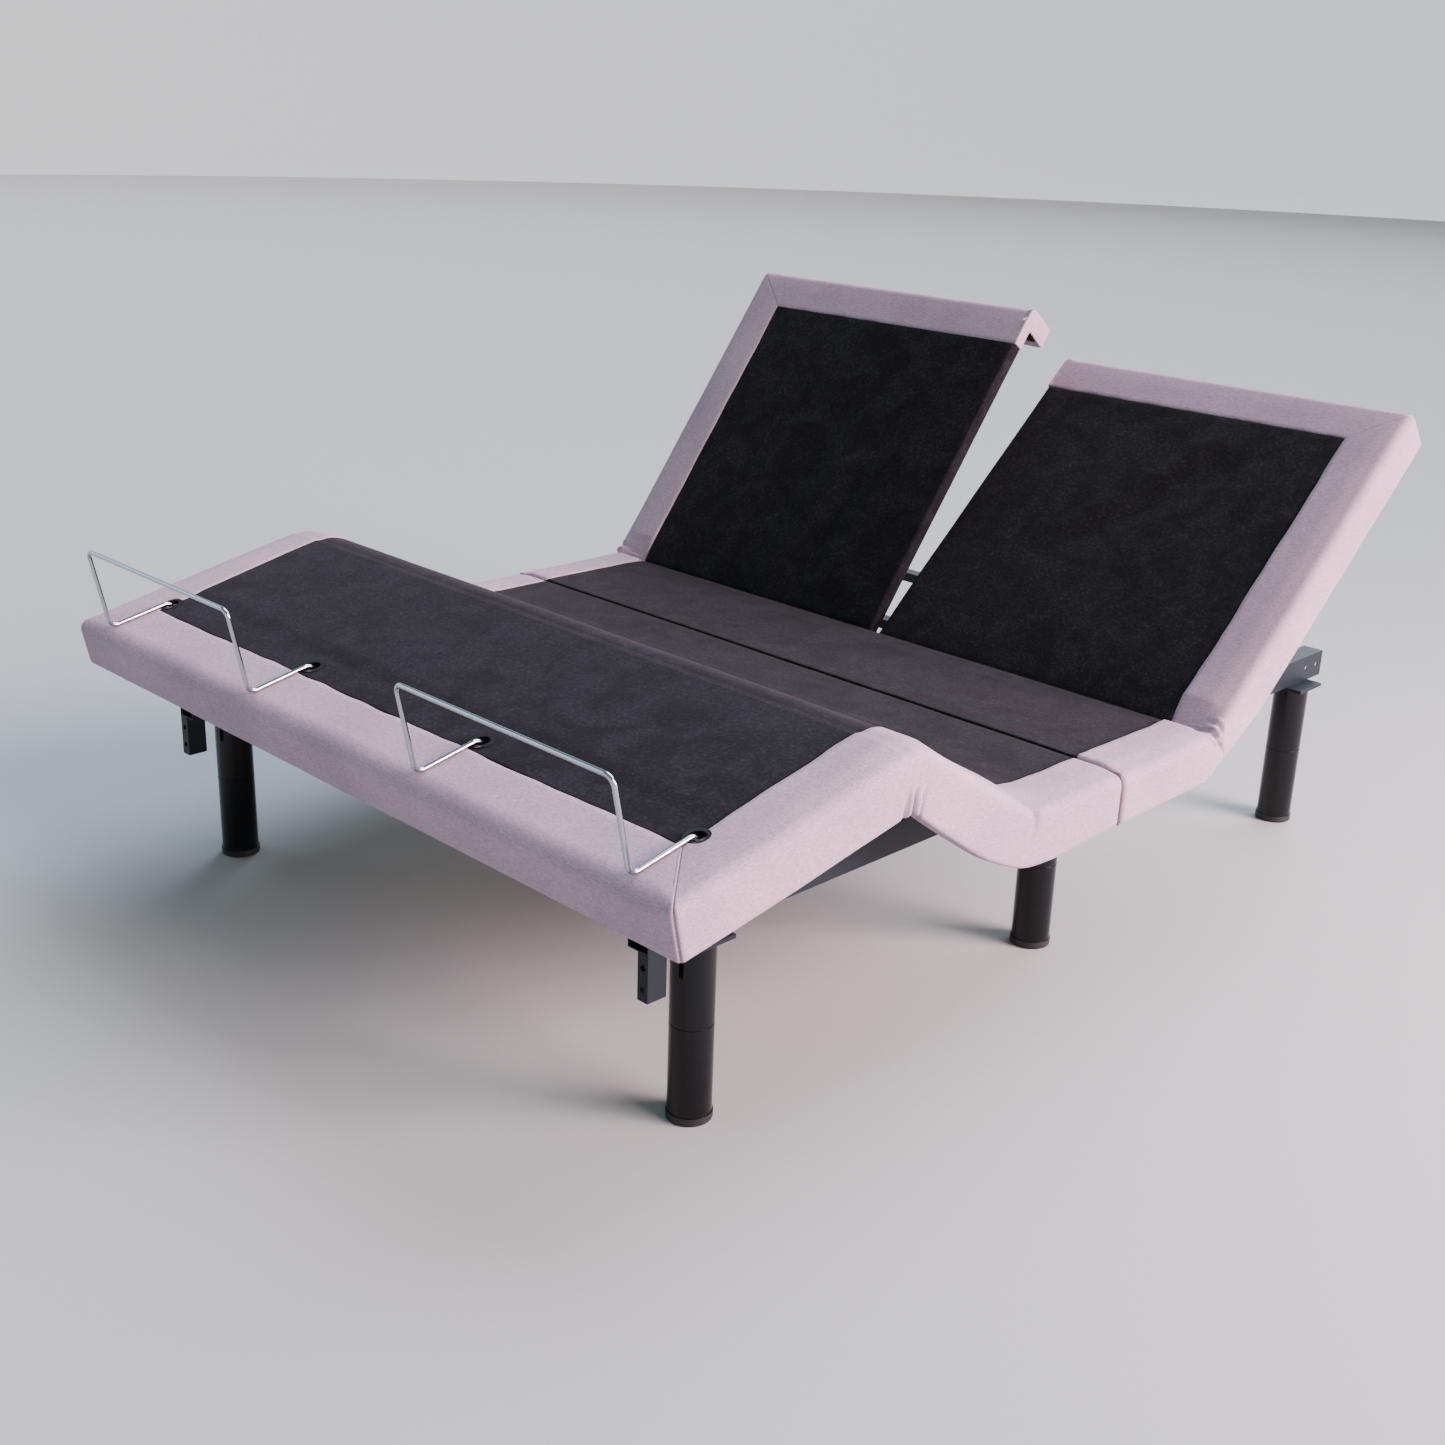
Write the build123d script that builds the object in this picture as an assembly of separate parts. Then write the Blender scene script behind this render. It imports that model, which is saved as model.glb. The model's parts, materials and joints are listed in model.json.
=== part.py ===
from build123d import *
import math
import os

# Adjustable bed base, shown with both split heads and the legs raised.
# X runs across the bed, +Y to the head end, +Z up; all sizes are millimetres.
# The building frame has y = 0 on the head hinge; CENTRE_Y moves it to the middle of the object.

# Upholstered deck
WIDTH = 1500.0
HEAD_LENGTH = 738.0
SEAT_LENGTH = 508.0
THIGH_LENGTH = 334.0
CALF_LENGTH = 468.0
SEAT_TOP = 356.0
SIDE_BAND = 93.0
FOOT_BAND = 107.0
HEAD_BAND = 84.0
SPLIT_GAP = 21.0
BORDER_DEPTH = 82.0
FOAM = 8.0
FACE_FOAM = 12.0
BOARD = 15.0
APRON = 15.0
COVER = 6.5
AXIS_DROP = 12.0
SECTION_GAP = 0.6

# Angles of the sections above the horizontal, as shown and at the stops
HEAD_LEFT_ANGLE = 52.7
HEAD_RIGHT_ANGLE = 40.7
HEAD_STOP = 62.0
THIGH_ANGLE = 32.2
THIGH_STOP = 40.0
CALF_ANGLE = 11.84
KNEE_RATIO = (THIGH_ANGLE + CALF_ANGLE) / THIGH_ANGLE

# Steel base frame
RAIL_TOP = 332.0
RAIL_BOTTOM = 283.0
RAIL_INNER = 560.0
RAIL_OUTER = 600.0
RAIL_WALL = 2.0
RAIL_FOOT_END = -1148.0
RAIL_HEAD_END = 646.0
SPLICE_Y = -280.0
SPLICE_REACH = 110.0
SPLICE_BOLTS = (-85.0, -35.0, 35.0, 85.0)
RAIL_BOLT_Z = 308.0
BOLT_HOLE = 4.3
MOUNT_HOLE = 4.5
HEADBOARD_HOLES = (-60.0, -20.0)
LOW_TUBE_YS = (-925.0, 200.0, 520.0)
LOW_TUBE_TOP = 303.0
LOW_TUBE_WIDTH = 30.0
HIGH_TUBE_WIDTH = 40.0
POST_WIDTH = 20.0
POST_LENGTH = 34.0
POST_BOTTOM = 212.0
POST_HOLES = (230.0, 262.0)

# Section frames and their hinges
TUBE = 25.0
TUBE_OUTER = 544.0
TUBE_INNER = 41.0
TUBE_WALL = 2.0
PLATE = 6.0
FRAME_START = 14.0
KNEE_FRAME_START = 24.0
HEAD_FRAME_END = 690.0
CALF_FRAME_END = -430.0
EYE_RADIUS = 8.0
PIN_RADIUS = 4.0
RUNNING_GAP = 0.05
SIDE_GAP = 1.0
NOTCH = 16.0

# Legs
LEG_X = 590.0
LEG_Y = {"foot": -1055.0, "middle": -256.0, "head": 558.0}
LEG_RADIUS = 32.0
LEG_WALL = 2.0
LEG_PLATE = 6.0
LEG_PLATE_LENGTH = 80.0
LEG_PLATE_INNER = 558.5
LEG_PLATE_OUTER = 630.0
LEG_SCREW_X = 572.0
LEG_SCREWS = (-34.0, 34.0)
SCREW_HOLE = 3.3
STUD_RADIUS = 5.0
STUD_HOLE = 5.2
LEG_JOINT = 150.0
GLIDE_HEIGHT = 12.0

# Actuators, levers and links
LEVER = 100.0
HEAD_LEVER_ANGLE = -121.0
THIGH_LEVER_ANGLE = -70.0
HEAD_ACTUATOR_X = 250.0
HEAD_PIVOT = (-455.0, -106.0)
THIGH_PIVOT = (458.0, -106.0)
ACTUATOR_PIN = 5.0
ACTUATOR_EYE = 12.0
LEVER_EYE = 22.0
MOTOR_RADIUS = 27.0
MOTOR_DROP = 58.0
TUBE_RADIUS = 17.0
ROD_RADIUS = 10.0
LINK_LUG = (-300.0, -50.0)
LINK_BASE = (-942.5, 256.9)
LINK_HALF = 13.0

# Room that each pin joint left open needs in its slot: (y low, y high), (z low, z high)
LEVER_SLOTS = {
    "left": ((-7.0, 6.0), (-8.0, 7.0)),
    "right": ((-12.0, 3.0), (-14.0, 2.0)),
    "thigh": ((-3.0, 4.0), (-6.0, 4.0)),
}
LINK_SLOT = ((-10.5, 8.5), (-9.5, 6.0))

# Control box
BOX_X = (330.0, 510.0)
BOX_Y = (-410.0, -300.0)
BOX_DEPTH = 44.0
SOCKET_PITCH = 30.0

# Mattress retainer bars
WIRE_RADIUS = 3.75
BAR_X = 436.0
BAR_HALF = 220.0
BAR_SOCKET_Y = -334.0
BAR_UP_Y = -450.0
BAR_TOP = 157.0
BAR_BOTTOM = -45.0
BAR_BEND = 14.0
SOCKET_RADIUS = 20.0
SOCKET_BARREL = 16.0
SOCKET_WELL = 13.0

# Worked out from the sizes above
AXIS_Z = SEAT_TOP - AXIS_DROP
TOP = AXIS_DROP
BOARD_TOP = TOP - FOAM
BOARD_BOTTOM = BOARD_TOP - BOARD
BORDER_BOTTOM = TOP - BORDER_DEPTH
APRON_BOTTOM = BORDER_BOTTOM + 2.0
TUBE_BOTTOM = BOARD_BOTTOM - TUBE
HALF = WIDTH / 2
BOARD_HALF = HALF - FACE_FOAM
PANEL_HALF = HALF - SIDE_BAND
SPLIT_HALF = SPLIT_GAP / 2
HIP_Y = -SEAT_LENGTH
LUG_OUT = TUBE_OUTER + PLATE
LUG_IN = TUBE_OUTER - TUBE

# Angle that each side of a joint is cut back by: half the joint's largest bend, and a little more
CUT = {
    "head": ("above", HEAD_STOP / 2 + 0.5),
    "hip": ("above", THIGH_STOP / 2 + 0.5),
    "knee": ("below", THIGH_STOP * KNEE_RATIO / 2 + 0.8),
}


def turned(point, degrees):
    """A (y, z) point turned about the origin, as +X turns it."""
    c = math.cos(math.radians(degrees))
    s = math.sin(math.radians(degrees))
    return (c * point[0] - s * point[1], s * point[0] + c * point[1])


KNEE_OFFSET = turned((-THIGH_LENGTH, 0.0), -THIGH_ANGLE)
KNEE_Y = HIP_Y + KNEE_OFFSET[0]
KNEE_Z = AXIS_Z + KNEE_OFFSET[1]
FOOT_TIP = KNEE_Y + turned((BAR_UP_Y - WIRE_RADIUS, BAR_TOP), CALF_ANGLE)[0]
CENTRE_Y = (FOOT_TIP + RAIL_HEAD_END) / 2

SEAT = Pos(0, 0, AXIS_Z)
THIGH = Pos(0, HIP_Y, AXIS_Z) * Rot(-THIGH_ANGLE, 0, 0)
CALF = Pos(0, KNEE_Y, KNEE_Z) * Rot(CALF_ANGLE, 0, 0)
HEADS = {
    "left": Pos(0, 0, AXIS_Z) * Rot(HEAD_LEFT_ANGLE, 0, 0),
    "right": Pos(0, 0, AXIS_Z) * Rot(HEAD_RIGHT_ANGLE, 0, 0),
}
SIDES = {"left": -1, "right": 1}


def keep(name, *solids):
    """Writes one node: one piece, or a group of identical or matching pieces."""
    shape = solids[0] if len(solids) == 1 else Compound(children=list(solids))
    export_step(Pos(0, -CENTRE_Y, 0) * shape, f"parts/{name}.step")


def block(x0, x1, y0, y1, z0, z1):
    size = (abs(x1 - x0), abs(y1 - y0), abs(z1 - z0))
    return Pos((x0 + x1) / 2, (y0 + y1) / 2, (z0 + z1) / 2) * Box(*size)


def plate(x0, x1, points):
    """A flat plate across the bed from x0 to x1, with a (y, z) outline."""
    outline = make_face(Polyline(*points, close=True))
    return extrude(Plane.YZ.offset(min(x0, x1)) * outline, amount=abs(x1 - x0))


def rod_x(x0, x1, y, z, radius):
    """A round bar along X."""
    return Pos((x0 + x1) / 2, y, z) * Rot(0, 90, 0) * Cylinder(radius, abs(x1 - x0))


def rod_z(x, y, z0, z1, radius):
    return Pos(x, y, (z0 + z1) / 2) * Cylinder(radius, abs(z1 - z0))


def end_at(z, kind):
    """How far a section stops short of the joint axis, at height z from the axis."""
    if kind not in CUT:
        return 0.0
    side, angle = CUT[kind]
    reach = max(0.0, z if side == "above" else -z)
    return SECTION_GAP + reach * math.tan(math.radians(angle))


def outline(y0, kind0, y1, kind1, z0, z1):
    """Side outline of a layer from z0 to z1 between two section ends."""
    heights = [z0, z1]
    if z0 < 0 < z1:
        heights = [z0, 0.0, z1]
    low_end = [(y0 + end_at(z, kind0), z) for z in heights]
    high_end = [(y1 - end_at(z, kind1), z) for z in reversed(heights)]
    return low_end + high_end


def mirror_x(shape):
    return mirror(shape, about=Plane.YZ)


def both_sides(shape):
    return [mirror_x(shape), shape]


def notched(shape, x_ranges, y):
    """Clears the hinge lugs out of a board or cover, at the joint at y."""
    for x0, x1 in x_ranges:
        shape = shape - block(x0, x1, y - NOTCH, y + NOTCH, BOARD_BOTTOM - 1, TOP + 1)
    return shape


def lug_foot(way, near_top, near_bottom, far):
    """Outline from the joint axis along the frame tube that a lug is welded to."""
    points = [(0, -EYE_RADIUS), (near_bottom, TUBE_BOTTOM), (far, TUBE_BOTTOM)]
    points += [(far, BOARD_BOTTOM), (near_top, BOARD_BOTTOM), (0, EYE_RADIUS)]
    return [(way * y, z) for y, z in points]


def lug(x, foot, hole=PIN_RADIUS):
    """A hinge lug: an eye round the axis and a foot with the given (y, z) outline."""
    shape = plate(x, x + PLATE, foot) + rod_x(x, x + PLATE, 0, 0, EYE_RADIUS)
    return shape - rod_x(x - 1, x + PLATE + 1, 0, 0, hole)


def square_tube_y(x0, x1, y0, y1, z0, z1, wall):
    outer = block(x0, x1, y0, y1, z0, z1)
    return outer - block(x0 + wall, x1 - wall, y0, y1, z0 + wall, z1 - wall)


def square_tube_x(x0, x1, y0, y1, z0, z1, wall):
    outer = block(x0, x1, y0, y1, z0, z1)
    return outer - block(x0, x1, y0 + wall, y1 - wall, z0 + wall, z1 - wall)


# Upholstered sections ------------------------------------------------------

OUTER_NOTCH = (LUG_OUT - 8.5, LUG_OUT + 8.5)
INNER_NOTCH = (TUBE_INNER - 14.5, TUBE_INNER + 1.5)
KNEE_NOTCH = (LUG_IN - 8, LUG_OUT + 2)


def across(ranges):
    """The given ranges of X and the same ranges on the other side."""
    return ranges + [(-b, -a) for a, b in ranges]


def side_border(x_in, x_out, ends):
    """Foam and fabric along one side: a band on top and a skin down the apron."""
    band = plate(x_in, x_out, outline(*ends, BOARD_TOP, TOP))
    skin = plate(x_out - FACE_FOAM, x_out, outline(*ends, BORDER_BOTTOM, BOARD_TOP))
    return band + skin


def side_apron(ends):
    return plate(BOARD_HALF - APRON, BOARD_HALF, outline(*ends, APRON_BOTTOM, BOARD_BOTTOM))


def sawn_corner(near, height, far):
    """What is sawn off a side apron's lower corner, so that the cloth can run straight past a head hinge."""
    low = APRON_BOTTOM - 1
    corner = [(near, height), (far, APRON_BOTTOM), (far, low), (near, low)]
    return plate(BOARD_HALF - APRON - 1, BOARD_HALF + 1, corner)


def frame_tubes(y0, y1, cross_ys, x_in, x_out):
    """Two long tubes under a board and the cross tubes between them."""
    layer = (TUBE_BOTTOM, BOARD_BOTTOM, TUBE_WALL)
    tubes = [
        square_tube_y(x_in, x_in + TUBE, y0, y1, *layer),
        square_tube_y(x_out - TUBE, x_out, y0, y1, *layer),
    ]
    for y in cross_ys:
        tubes.append(square_tube_x(x_in + TUBE, x_out - TUBE, y, y + TUBE, *layer))
    return tubes


def lever_plates(x, root, neck, pin, slot):
    """Two plates that hang from a cross tube and hold the rod's pin in a wide slot."""
    made = []
    slot_y, slot_z = slot
    for x0 in (x - 17, x + 11):
        arm = plate(x0, x0 + PLATE, root + neck)
        end = rod_x(x0, x0 + PLATE, pin[0], pin[1], LEVER_EYE)
        y_low = pin[0] + slot_y[0] - ACTUATOR_PIN
        y_high = pin[0] + slot_y[1] + ACTUATOR_PIN
        z_low = pin[1] + slot_z[0] - ACTUATOR_PIN
        z_high = pin[1] + slot_z[1] + ACTUATOR_PIN
        made.append(arm + end - block(x0 - 1, x0 + PLATE + 1, y_low, y_high, z_low, z_high))
    return made


def head_section(side):
    place = HEADS[side]
    sign = SIDES[side]
    ends = (0.0, "head", HEAD_LENGTH, "free")
    board_ends = (0.0, "head", HEAD_LENGTH - FACE_FOAM, "free")
    band_ends = (0.0, "head", HEAD_LENGTH - HEAD_BAND, "free")
    apron_ends = (0.0, "head", HEAD_LENGTH - FACE_FOAM - APRON, "free")
    notches = [OUTER_NOTCH, INNER_NOTCH]

    def put(name, *shapes):
        placed = [place * (s if sign > 0 else mirror_x(s)) for s in shapes]
        keep(f"head_{side}_{name}", *placed)

    board = plate(SPLIT_HALF, BOARD_HALF, outline(*board_ends, BOARD_BOTTOM, BOARD_TOP))
    put("deck_board", notched(board, notches, 0))
    end_y = HEAD_LENGTH - FACE_FOAM
    end_apron = block(SPLIT_HALF, BOARD_HALF, end_y - APRON, end_y, APRON_BOTTOM, BOARD_BOTTOM)
    put("apron_boards", side_apron(apron_ends) - sawn_corner(-1, -38, 118), end_apron)
    top_band = block(SPLIT_HALF, PANEL_HALF, HEAD_LENGTH - HEAD_BAND, HEAD_LENGTH, BOARD_TOP, TOP)
    end_skin = block(SPLIT_HALF, HALF - FACE_FOAM, end_y, HEAD_LENGTH, BORDER_BOTTOM, BOARD_TOP)
    put("border", side_border(PANEL_HALF, HALF, ends), top_band + end_skin)
    cover = plate(SPLIT_HALF, PANEL_HALF, outline(*band_ends, BOARD_TOP, BOARD_TOP + COVER))
    put("deck_cover", notched(cover, notches, 0))
    cross_ys = (60, HEAD_FRAME_END - 50)
    put("frame", *frame_tubes(FRAME_START, HEAD_FRAME_END, cross_ys, TUBE_INNER, TUBE_OUTER))
    foot = lug_foot(1, FRAME_START, FRAME_START, 60)
    hole = PIN_RADIUS + RUNNING_GAP
    lugs = [lug(TUBE_OUTER, foot, hole), lug(TUBE_INNER - PLATE, foot, hole)]
    pin = turned((LEVER, 0.0), HEAD_LEVER_ANGLE)
    root = [(85, TUBE_BOTTOM), (60, TUBE_BOTTOM), (5, -68)]
    neck = [(pin[0], pin[1] + 20), (pin[0], pin[1] - 20), (20, -98)]
    levers = lever_plates(HEAD_ACTUATOR_X, root, neck, pin, LEVER_SLOTS[side])
    put("lugs_and_lever", *lugs, *levers)


def seat_section():
    halves = {
        "front": (HIP_Y, "hip", SPLICE_Y - 0.5, "seam"),
        "rear": (SPLICE_Y + 0.5, "seam", 0.0, "head"),
    }
    notch_at = {
        "front": (across([OUTER_NOTCH]), HIP_Y),
        "rear": (across([OUTER_NOTCH, INNER_NOTCH]), 0.0),
    }
    aprons, borders, covers = [], [], []
    for name, ends in halves.items():
        board = plate(-BOARD_HALF, BOARD_HALF, outline(*ends, RAIL_TOP - AXIS_Z, BOARD_TOP))
        keep(f"seat_{name}_deck_board", SEAT * notched(board, *notch_at[name]))
        cover = plate(-PANEL_HALF, PANEL_HALF, outline(*ends, BOARD_TOP, BOARD_TOP + COVER))
        covers.append(SEAT * notched(cover, *notch_at[name]))
        apron = plate(BOARD_HALF - APRON, BOARD_HALF, outline(*ends, APRON_BOTTOM, RAIL_TOP - AXIS_Z))
        if name == "rear":
            apron = apron - sawn_corner(1, -49, -26)
        aprons += [SEAT * s for s in both_sides(apron)]
        borders += [SEAT * s for s in both_sides(side_border(PANEL_HALF, HALF, ends))]
    keep("seat_apron_boards", *aprons)
    keep("seat_border", *borders)
    keep("seat_deck_cover", *covers)


def thigh_section():
    ends = (-THIGH_LENGTH, "knee", 0.0, "hip")
    board = plate(-BOARD_HALF, BOARD_HALF, outline(*ends, BOARD_BOTTOM, BOARD_TOP))
    cover = plate(-PANEL_HALF, PANEL_HALF, outline(*ends, BOARD_TOP, BOARD_TOP + COVER))
    hip_notch = (across([OUTER_NOTCH]), 0.0)
    knee_notch = (across([KNEE_NOTCH]), -THIGH_LENGTH)
    keep("thigh_deck_board", THIGH * notched(notched(board, *hip_notch), *knee_notch))
    keep("thigh_deck_cover", THIGH * notched(notched(cover, *hip_notch), *knee_notch))
    keep("thigh_apron_boards", *[THIGH * s for s in both_sides(side_apron(ends))])
    keep("thigh_border", *[THIGH * s for s in both_sides(side_border(PANEL_HALF, HALF, ends))])
    frame_end = -THIGH_LENGTH + KNEE_FRAME_START
    tubes = frame_tubes(frame_end, -FRAME_START, (-85, -290), -TUBE_OUTER, TUBE_OUTER)
    keep("thigh_frame", *[THIGH * s for s in tubes])
    hip_foot = lug_foot(-1, FRAME_START, FRAME_START, 60)
    knee_foot = lug_foot(1, FRAME_START, KNEE_FRAME_START, 70)
    hip_lug = lug(TUBE_OUTER, hip_foot, PIN_RADIUS + RUNNING_GAP)
    knee_lug = Pos(0, -THIGH_LENGTH, 0) * lug(TUBE_OUTER, knee_foot)
    lugs = both_sides(hip_lug) + both_sides(knee_lug)
    knee_pin = rod_x(LUG_IN - PLATE - 1, LUG_OUT + 1, -THIGH_LENGTH, 0, PIN_RADIUS)
    keep("knee_pins", *[THIGH * s for s in both_sides(knee_pin)])
    pin = turned((LEVER, 0.0), THIGH_LEVER_ANGLE)
    root = [(-85, TUBE_BOTTOM), (-62, TUBE_BOTTOM), (-8, -70)]
    neck = [(pin[0], pin[1] + 20), (pin[0], pin[1] - 20), (-20, -104)]
    levers = lever_plates(0.0, root, neck, pin, LEVER_SLOTS["thigh"])
    keep("thigh_lugs_and_lever", *[THIGH * s for s in lugs + levers])


def calf_section():
    ends = (-CALF_LENGTH, "free", 0.0, "knee")
    board_ends = (-CALF_LENGTH + FACE_FOAM, "free", 0.0, "knee")
    band_ends = (-CALF_LENGTH + FOOT_BAND, "free", 0.0, "knee")
    apron_ends = (-CALF_LENGTH + FACE_FOAM + APRON, "free", 0.0, "knee")
    sockets = [x + s for x in (-BAR_X, BAR_X) for s in (-BAR_HALF, BAR_HALF)]
    holes = [rod_z(x, BAR_SOCKET_Y, BOARD_BOTTOM - 5, BOARD_TOP, SOCKET_BARREL) for x in sockets]
    wells = [rod_z(x, BAR_SOCKET_Y, BOARD_TOP, TOP + 5, SOCKET_RADIUS) for x in sockets]

    def cleared(shape, tools):
        for tool in tools:
            shape = shape - tool
        return shape

    board = plate(-BOARD_HALF, BOARD_HALF, outline(*board_ends, BOARD_BOTTOM, BOARD_TOP))
    board = notched(board, across([KNEE_NOTCH]), 0.0)
    keep("calf_deck_board", CALF * cleared(board, holes))
    cover = plate(-PANEL_HALF, PANEL_HALF, outline(*band_ends, BOARD_TOP, BOARD_TOP + COVER))
    cover = notched(cover, across([KNEE_NOTCH]), 0.0)
    keep("calf_deck_cover", CALF * cleared(cover, wells))
    end_y = -CALF_LENGTH + FACE_FOAM
    end_apron = block(-BOARD_HALF, BOARD_HALF, end_y, end_y + APRON, APRON_BOTTOM, BOARD_BOTTOM)
    aprons = both_sides(side_apron(apron_ends)) + [end_apron]
    keep("calf_apron_boards", *[CALF * s for s in aprons])
    side = side_border(PANEL_HALF, HALF, ends)
    foot_band_end = -CALF_LENGTH + FOOT_BAND
    foot_band = block(-PANEL_HALF, PANEL_HALF, -CALF_LENGTH, foot_band_end, BOARD_TOP, TOP)
    foot_skin = block(-BOARD_HALF, BOARD_HALF, -CALF_LENGTH, end_y, BORDER_BOTTOM, BOARD_TOP)
    borders = [cleared(s, wells) for s in both_sides(side)] + [foot_band + foot_skin]
    keep("calf_border", *[CALF * s for s in borders])
    cross_ys = (-160, CALF_FRAME_END + 15)
    tubes = frame_tubes(CALF_FRAME_END, -KNEE_FRAME_START, cross_ys, -TUBE_OUTER, TUBE_OUTER)
    keep("calf_frame", *[CALF * s for s in tubes])
    foot = lug_foot(-1, FRAME_START, KNEE_FRAME_START, 70)
    knee_lug = lug(LUG_IN - PLATE, foot, PIN_RADIUS + RUNNING_GAP)
    y, z = LINK_LUG
    link_lug = block(TUBE_OUTER, LUG_OUT, y - 30, y + 30, z - 18, BOARD_BOTTOM)
    (y_low, y_high), (z_low, z_high) = LINK_SLOT
    slot = block(TUBE_OUTER - 1, LUG_OUT + 1, y + y_low, y + y_high, z + z_low, z + z_high)
    lugs = both_sides(knee_lug) + both_sides(link_lug - slot)
    keep("calf_hinge_lugs", *[CALF * s for s in lugs])
    cups = []
    for x in sockets:
        cup = rod_z(x, BAR_SOCKET_Y, BOARD_BOTTOM - 3, TOP, SOCKET_BARREL)
        cup = cup + rod_z(x, BAR_SOCKET_Y, BOARD_TOP + COVER, TOP + 0.2, SOCKET_RADIUS)
        cup = cup - rod_z(x, BAR_SOCKET_Y, -4, TOP + 1, SOCKET_WELL)
        cup = cup - rod_z(x, BAR_SOCKET_Y, BOARD_BOTTOM - 4, 0, WIRE_RADIUS + 0.4)
        cups.append(CALF * cup)
    keep("retainer_sockets", *cups)


def retainer_bar(name, x):
    """Wire hoop: down into two sockets, out over the band, up and across."""
    lie = TOP + WIRE_RADIUS + 0.5
    half = [(BAR_SOCKET_Y, BAR_BOTTOM), (BAR_SOCKET_Y, lie), (BAR_UP_Y, lie), (BAR_UP_Y, BAR_TOP)]
    points = [(x + BAR_HALF, y, z) for y, z in half]
    points += [(x - BAR_HALF, y, z) for y, z in reversed(half)]
    path = FilletPolyline(*points, radius=BAR_BEND)
    profile = Plane(origin=path @ 0, z_dir=path % 0) * Circle(WIRE_RADIUS)
    keep(name, CALF * sweep(profile, path=path))


# Steel base ------------------------------------------------------------------

def rails():
    """Side rails in two lengths a side, spliced in the middle. Returns the splice bolts."""
    bolt_y = [SPLICE_Y + d for d in SPLICE_BOLTS]
    for name, y0, y1 in (("front", RAIL_FOOT_END, SPLICE_Y), ("rear", SPLICE_Y, RAIL_HEAD_END)):
        tube = square_tube_y(RAIL_INNER, RAIL_OUTER, y0, y1, RAIL_BOTTOM, RAIL_TOP, RAIL_WALL)
        for y in bolt_y:
            tube = tube - rod_x(RAIL_INNER - 1, RAIL_OUTER + 1, y, RAIL_BOLT_Z, BOLT_HOLE)
        for d in HEADBOARD_HOLES:
            y = RAIL_HEAD_END + d
            tube = tube - rod_x(RAIL_OUTER - 3, RAIL_OUTER + 1, y, RAIL_BOLT_Z, MOUNT_HOLE)
        for leg_y in LEG_Y.values():
            for dy in LEG_SCREWS:
                tube = tube - rod_z(LEG_SCREW_X, leg_y + dy, RAIL_BOTTOM - 1, RAIL_BOTTOM + 3, SCREW_HOLE)
        keep(f"{name}_side_rails", *both_sides(tube))
    plates, bolts = [], []
    for x0 in (RAIL_INNER - PLATE, RAIL_OUTER):
        y0, y1 = SPLICE_Y - SPLICE_REACH, SPLICE_Y + SPLICE_REACH
        splice = block(x0, x0 + PLATE, y0, y1, RAIL_BOTTOM + 7, RAIL_TOP - 6)
        for y in bolt_y:
            splice = splice - rod_x(x0 - 1, x0 + PLATE + 1, y, RAIL_BOLT_Z, BOLT_HOLE)
        plates += both_sides(splice)
    for y in bolt_y:
        x0 = RAIL_INNER - PLATE
        x1 = RAIL_OUTER + PLATE
        bolt = rod_x(x0 - 6, x1 + 5, y, RAIL_BOLT_Z, PIN_RADIUS)
        nut = rod_x(x0 - 6, x0, y, RAIL_BOLT_Z, 6.5)
        head = rod_x(x1, x1 + 5, y, RAIL_BOLT_Z, 7.0)
        bolts += both_sides(bolt + nut + head)
    keep("splice_plates", *plates)
    return bolts


def cross_tubes():
    """Three low tubes, and a high one beside each fixed hinge line."""
    def tube(y, width, top):
        return square_tube_x(-RAIL_INNER, RAIL_INNER, y, y + width, RAIL_BOTTOM, top, RAIL_WALL)

    made = [tube(y, LOW_TUBE_WIDTH, LOW_TUBE_TOP) for y in LOW_TUBE_YS]
    made.append(tube(HIP_Y + EYE_RADIUS, HIGH_TUBE_WIDTH, RAIL_TOP))
    made.append(tube(-5 - HIGH_TUBE_WIDTH, HIGH_TUBE_WIDTH, RAIL_TOP))
    keep("cross_tubes", *made)


def base_hinge_lugs():
    """Lugs on the two high cross tubes. Also writes every fixed pin of the base."""
    high = RAIL_TOP - AXIS_Z
    head_foot = [(-5, high), (-5, -54), (5, -54), (8, 0), (-5, 0)]
    hip_foot = [(8, high), (8, 0), (-8, 0), (-5, -54), (8, -54)]
    hole = PIN_RADIUS
    x_out = LUG_OUT + SIDE_GAP
    x_in = TUBE_INNER - 2 * PLATE - SIDE_GAP
    lugs = []
    for x in (x_out, x_in):
        lugs += [SEAT * s for s in both_sides(lug(x, head_foot, hole))]
    lugs += [Pos(0, HIP_Y, AXIS_Z) * s for s in both_sides(lug(x_out, hip_foot, hole))]
    pins = both_sides(rod_x(TUBE_OUTER - 0.5, x_out + PLATE + 1, 0, AXIS_Z, PIN_RADIUS))
    pins += both_sides(rod_x(x_in - 1, TUBE_INNER + 0.5, 0, AXIS_Z, PIN_RADIUS))
    pins += both_sides(rod_x(TUBE_OUTER - 0.5, x_out + PLATE + 1, HIP_Y, AXIS_Z, PIN_RADIUS))
    y, z = LINK_BASE
    pins += both_sides(rod_x(LUG_OUT + 0.5, LUG_OUT + PLATE + 10, y, z, PIN_RADIUS))
    for x, (py, pz) in actuator_pivots():
        pins.append(rod_x(x - 20, x + 20, py, pz, ACTUATOR_PIN))
    keep("base_pivot_pins", *pins)
    return lugs


def actuator_pivots():
    head_y = HEAD_PIVOT[0]
    head_z = AXIS_Z + HEAD_PIVOT[1]
    return [
        (-HEAD_ACTUATOR_X, (head_y, head_z)),
        (HEAD_ACTUATOR_X, (head_y, head_z)),
        (0.0, (HIP_Y + THIGH_PIVOT[0], AXIS_Z + THIGH_PIVOT[1])),
    ]


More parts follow.
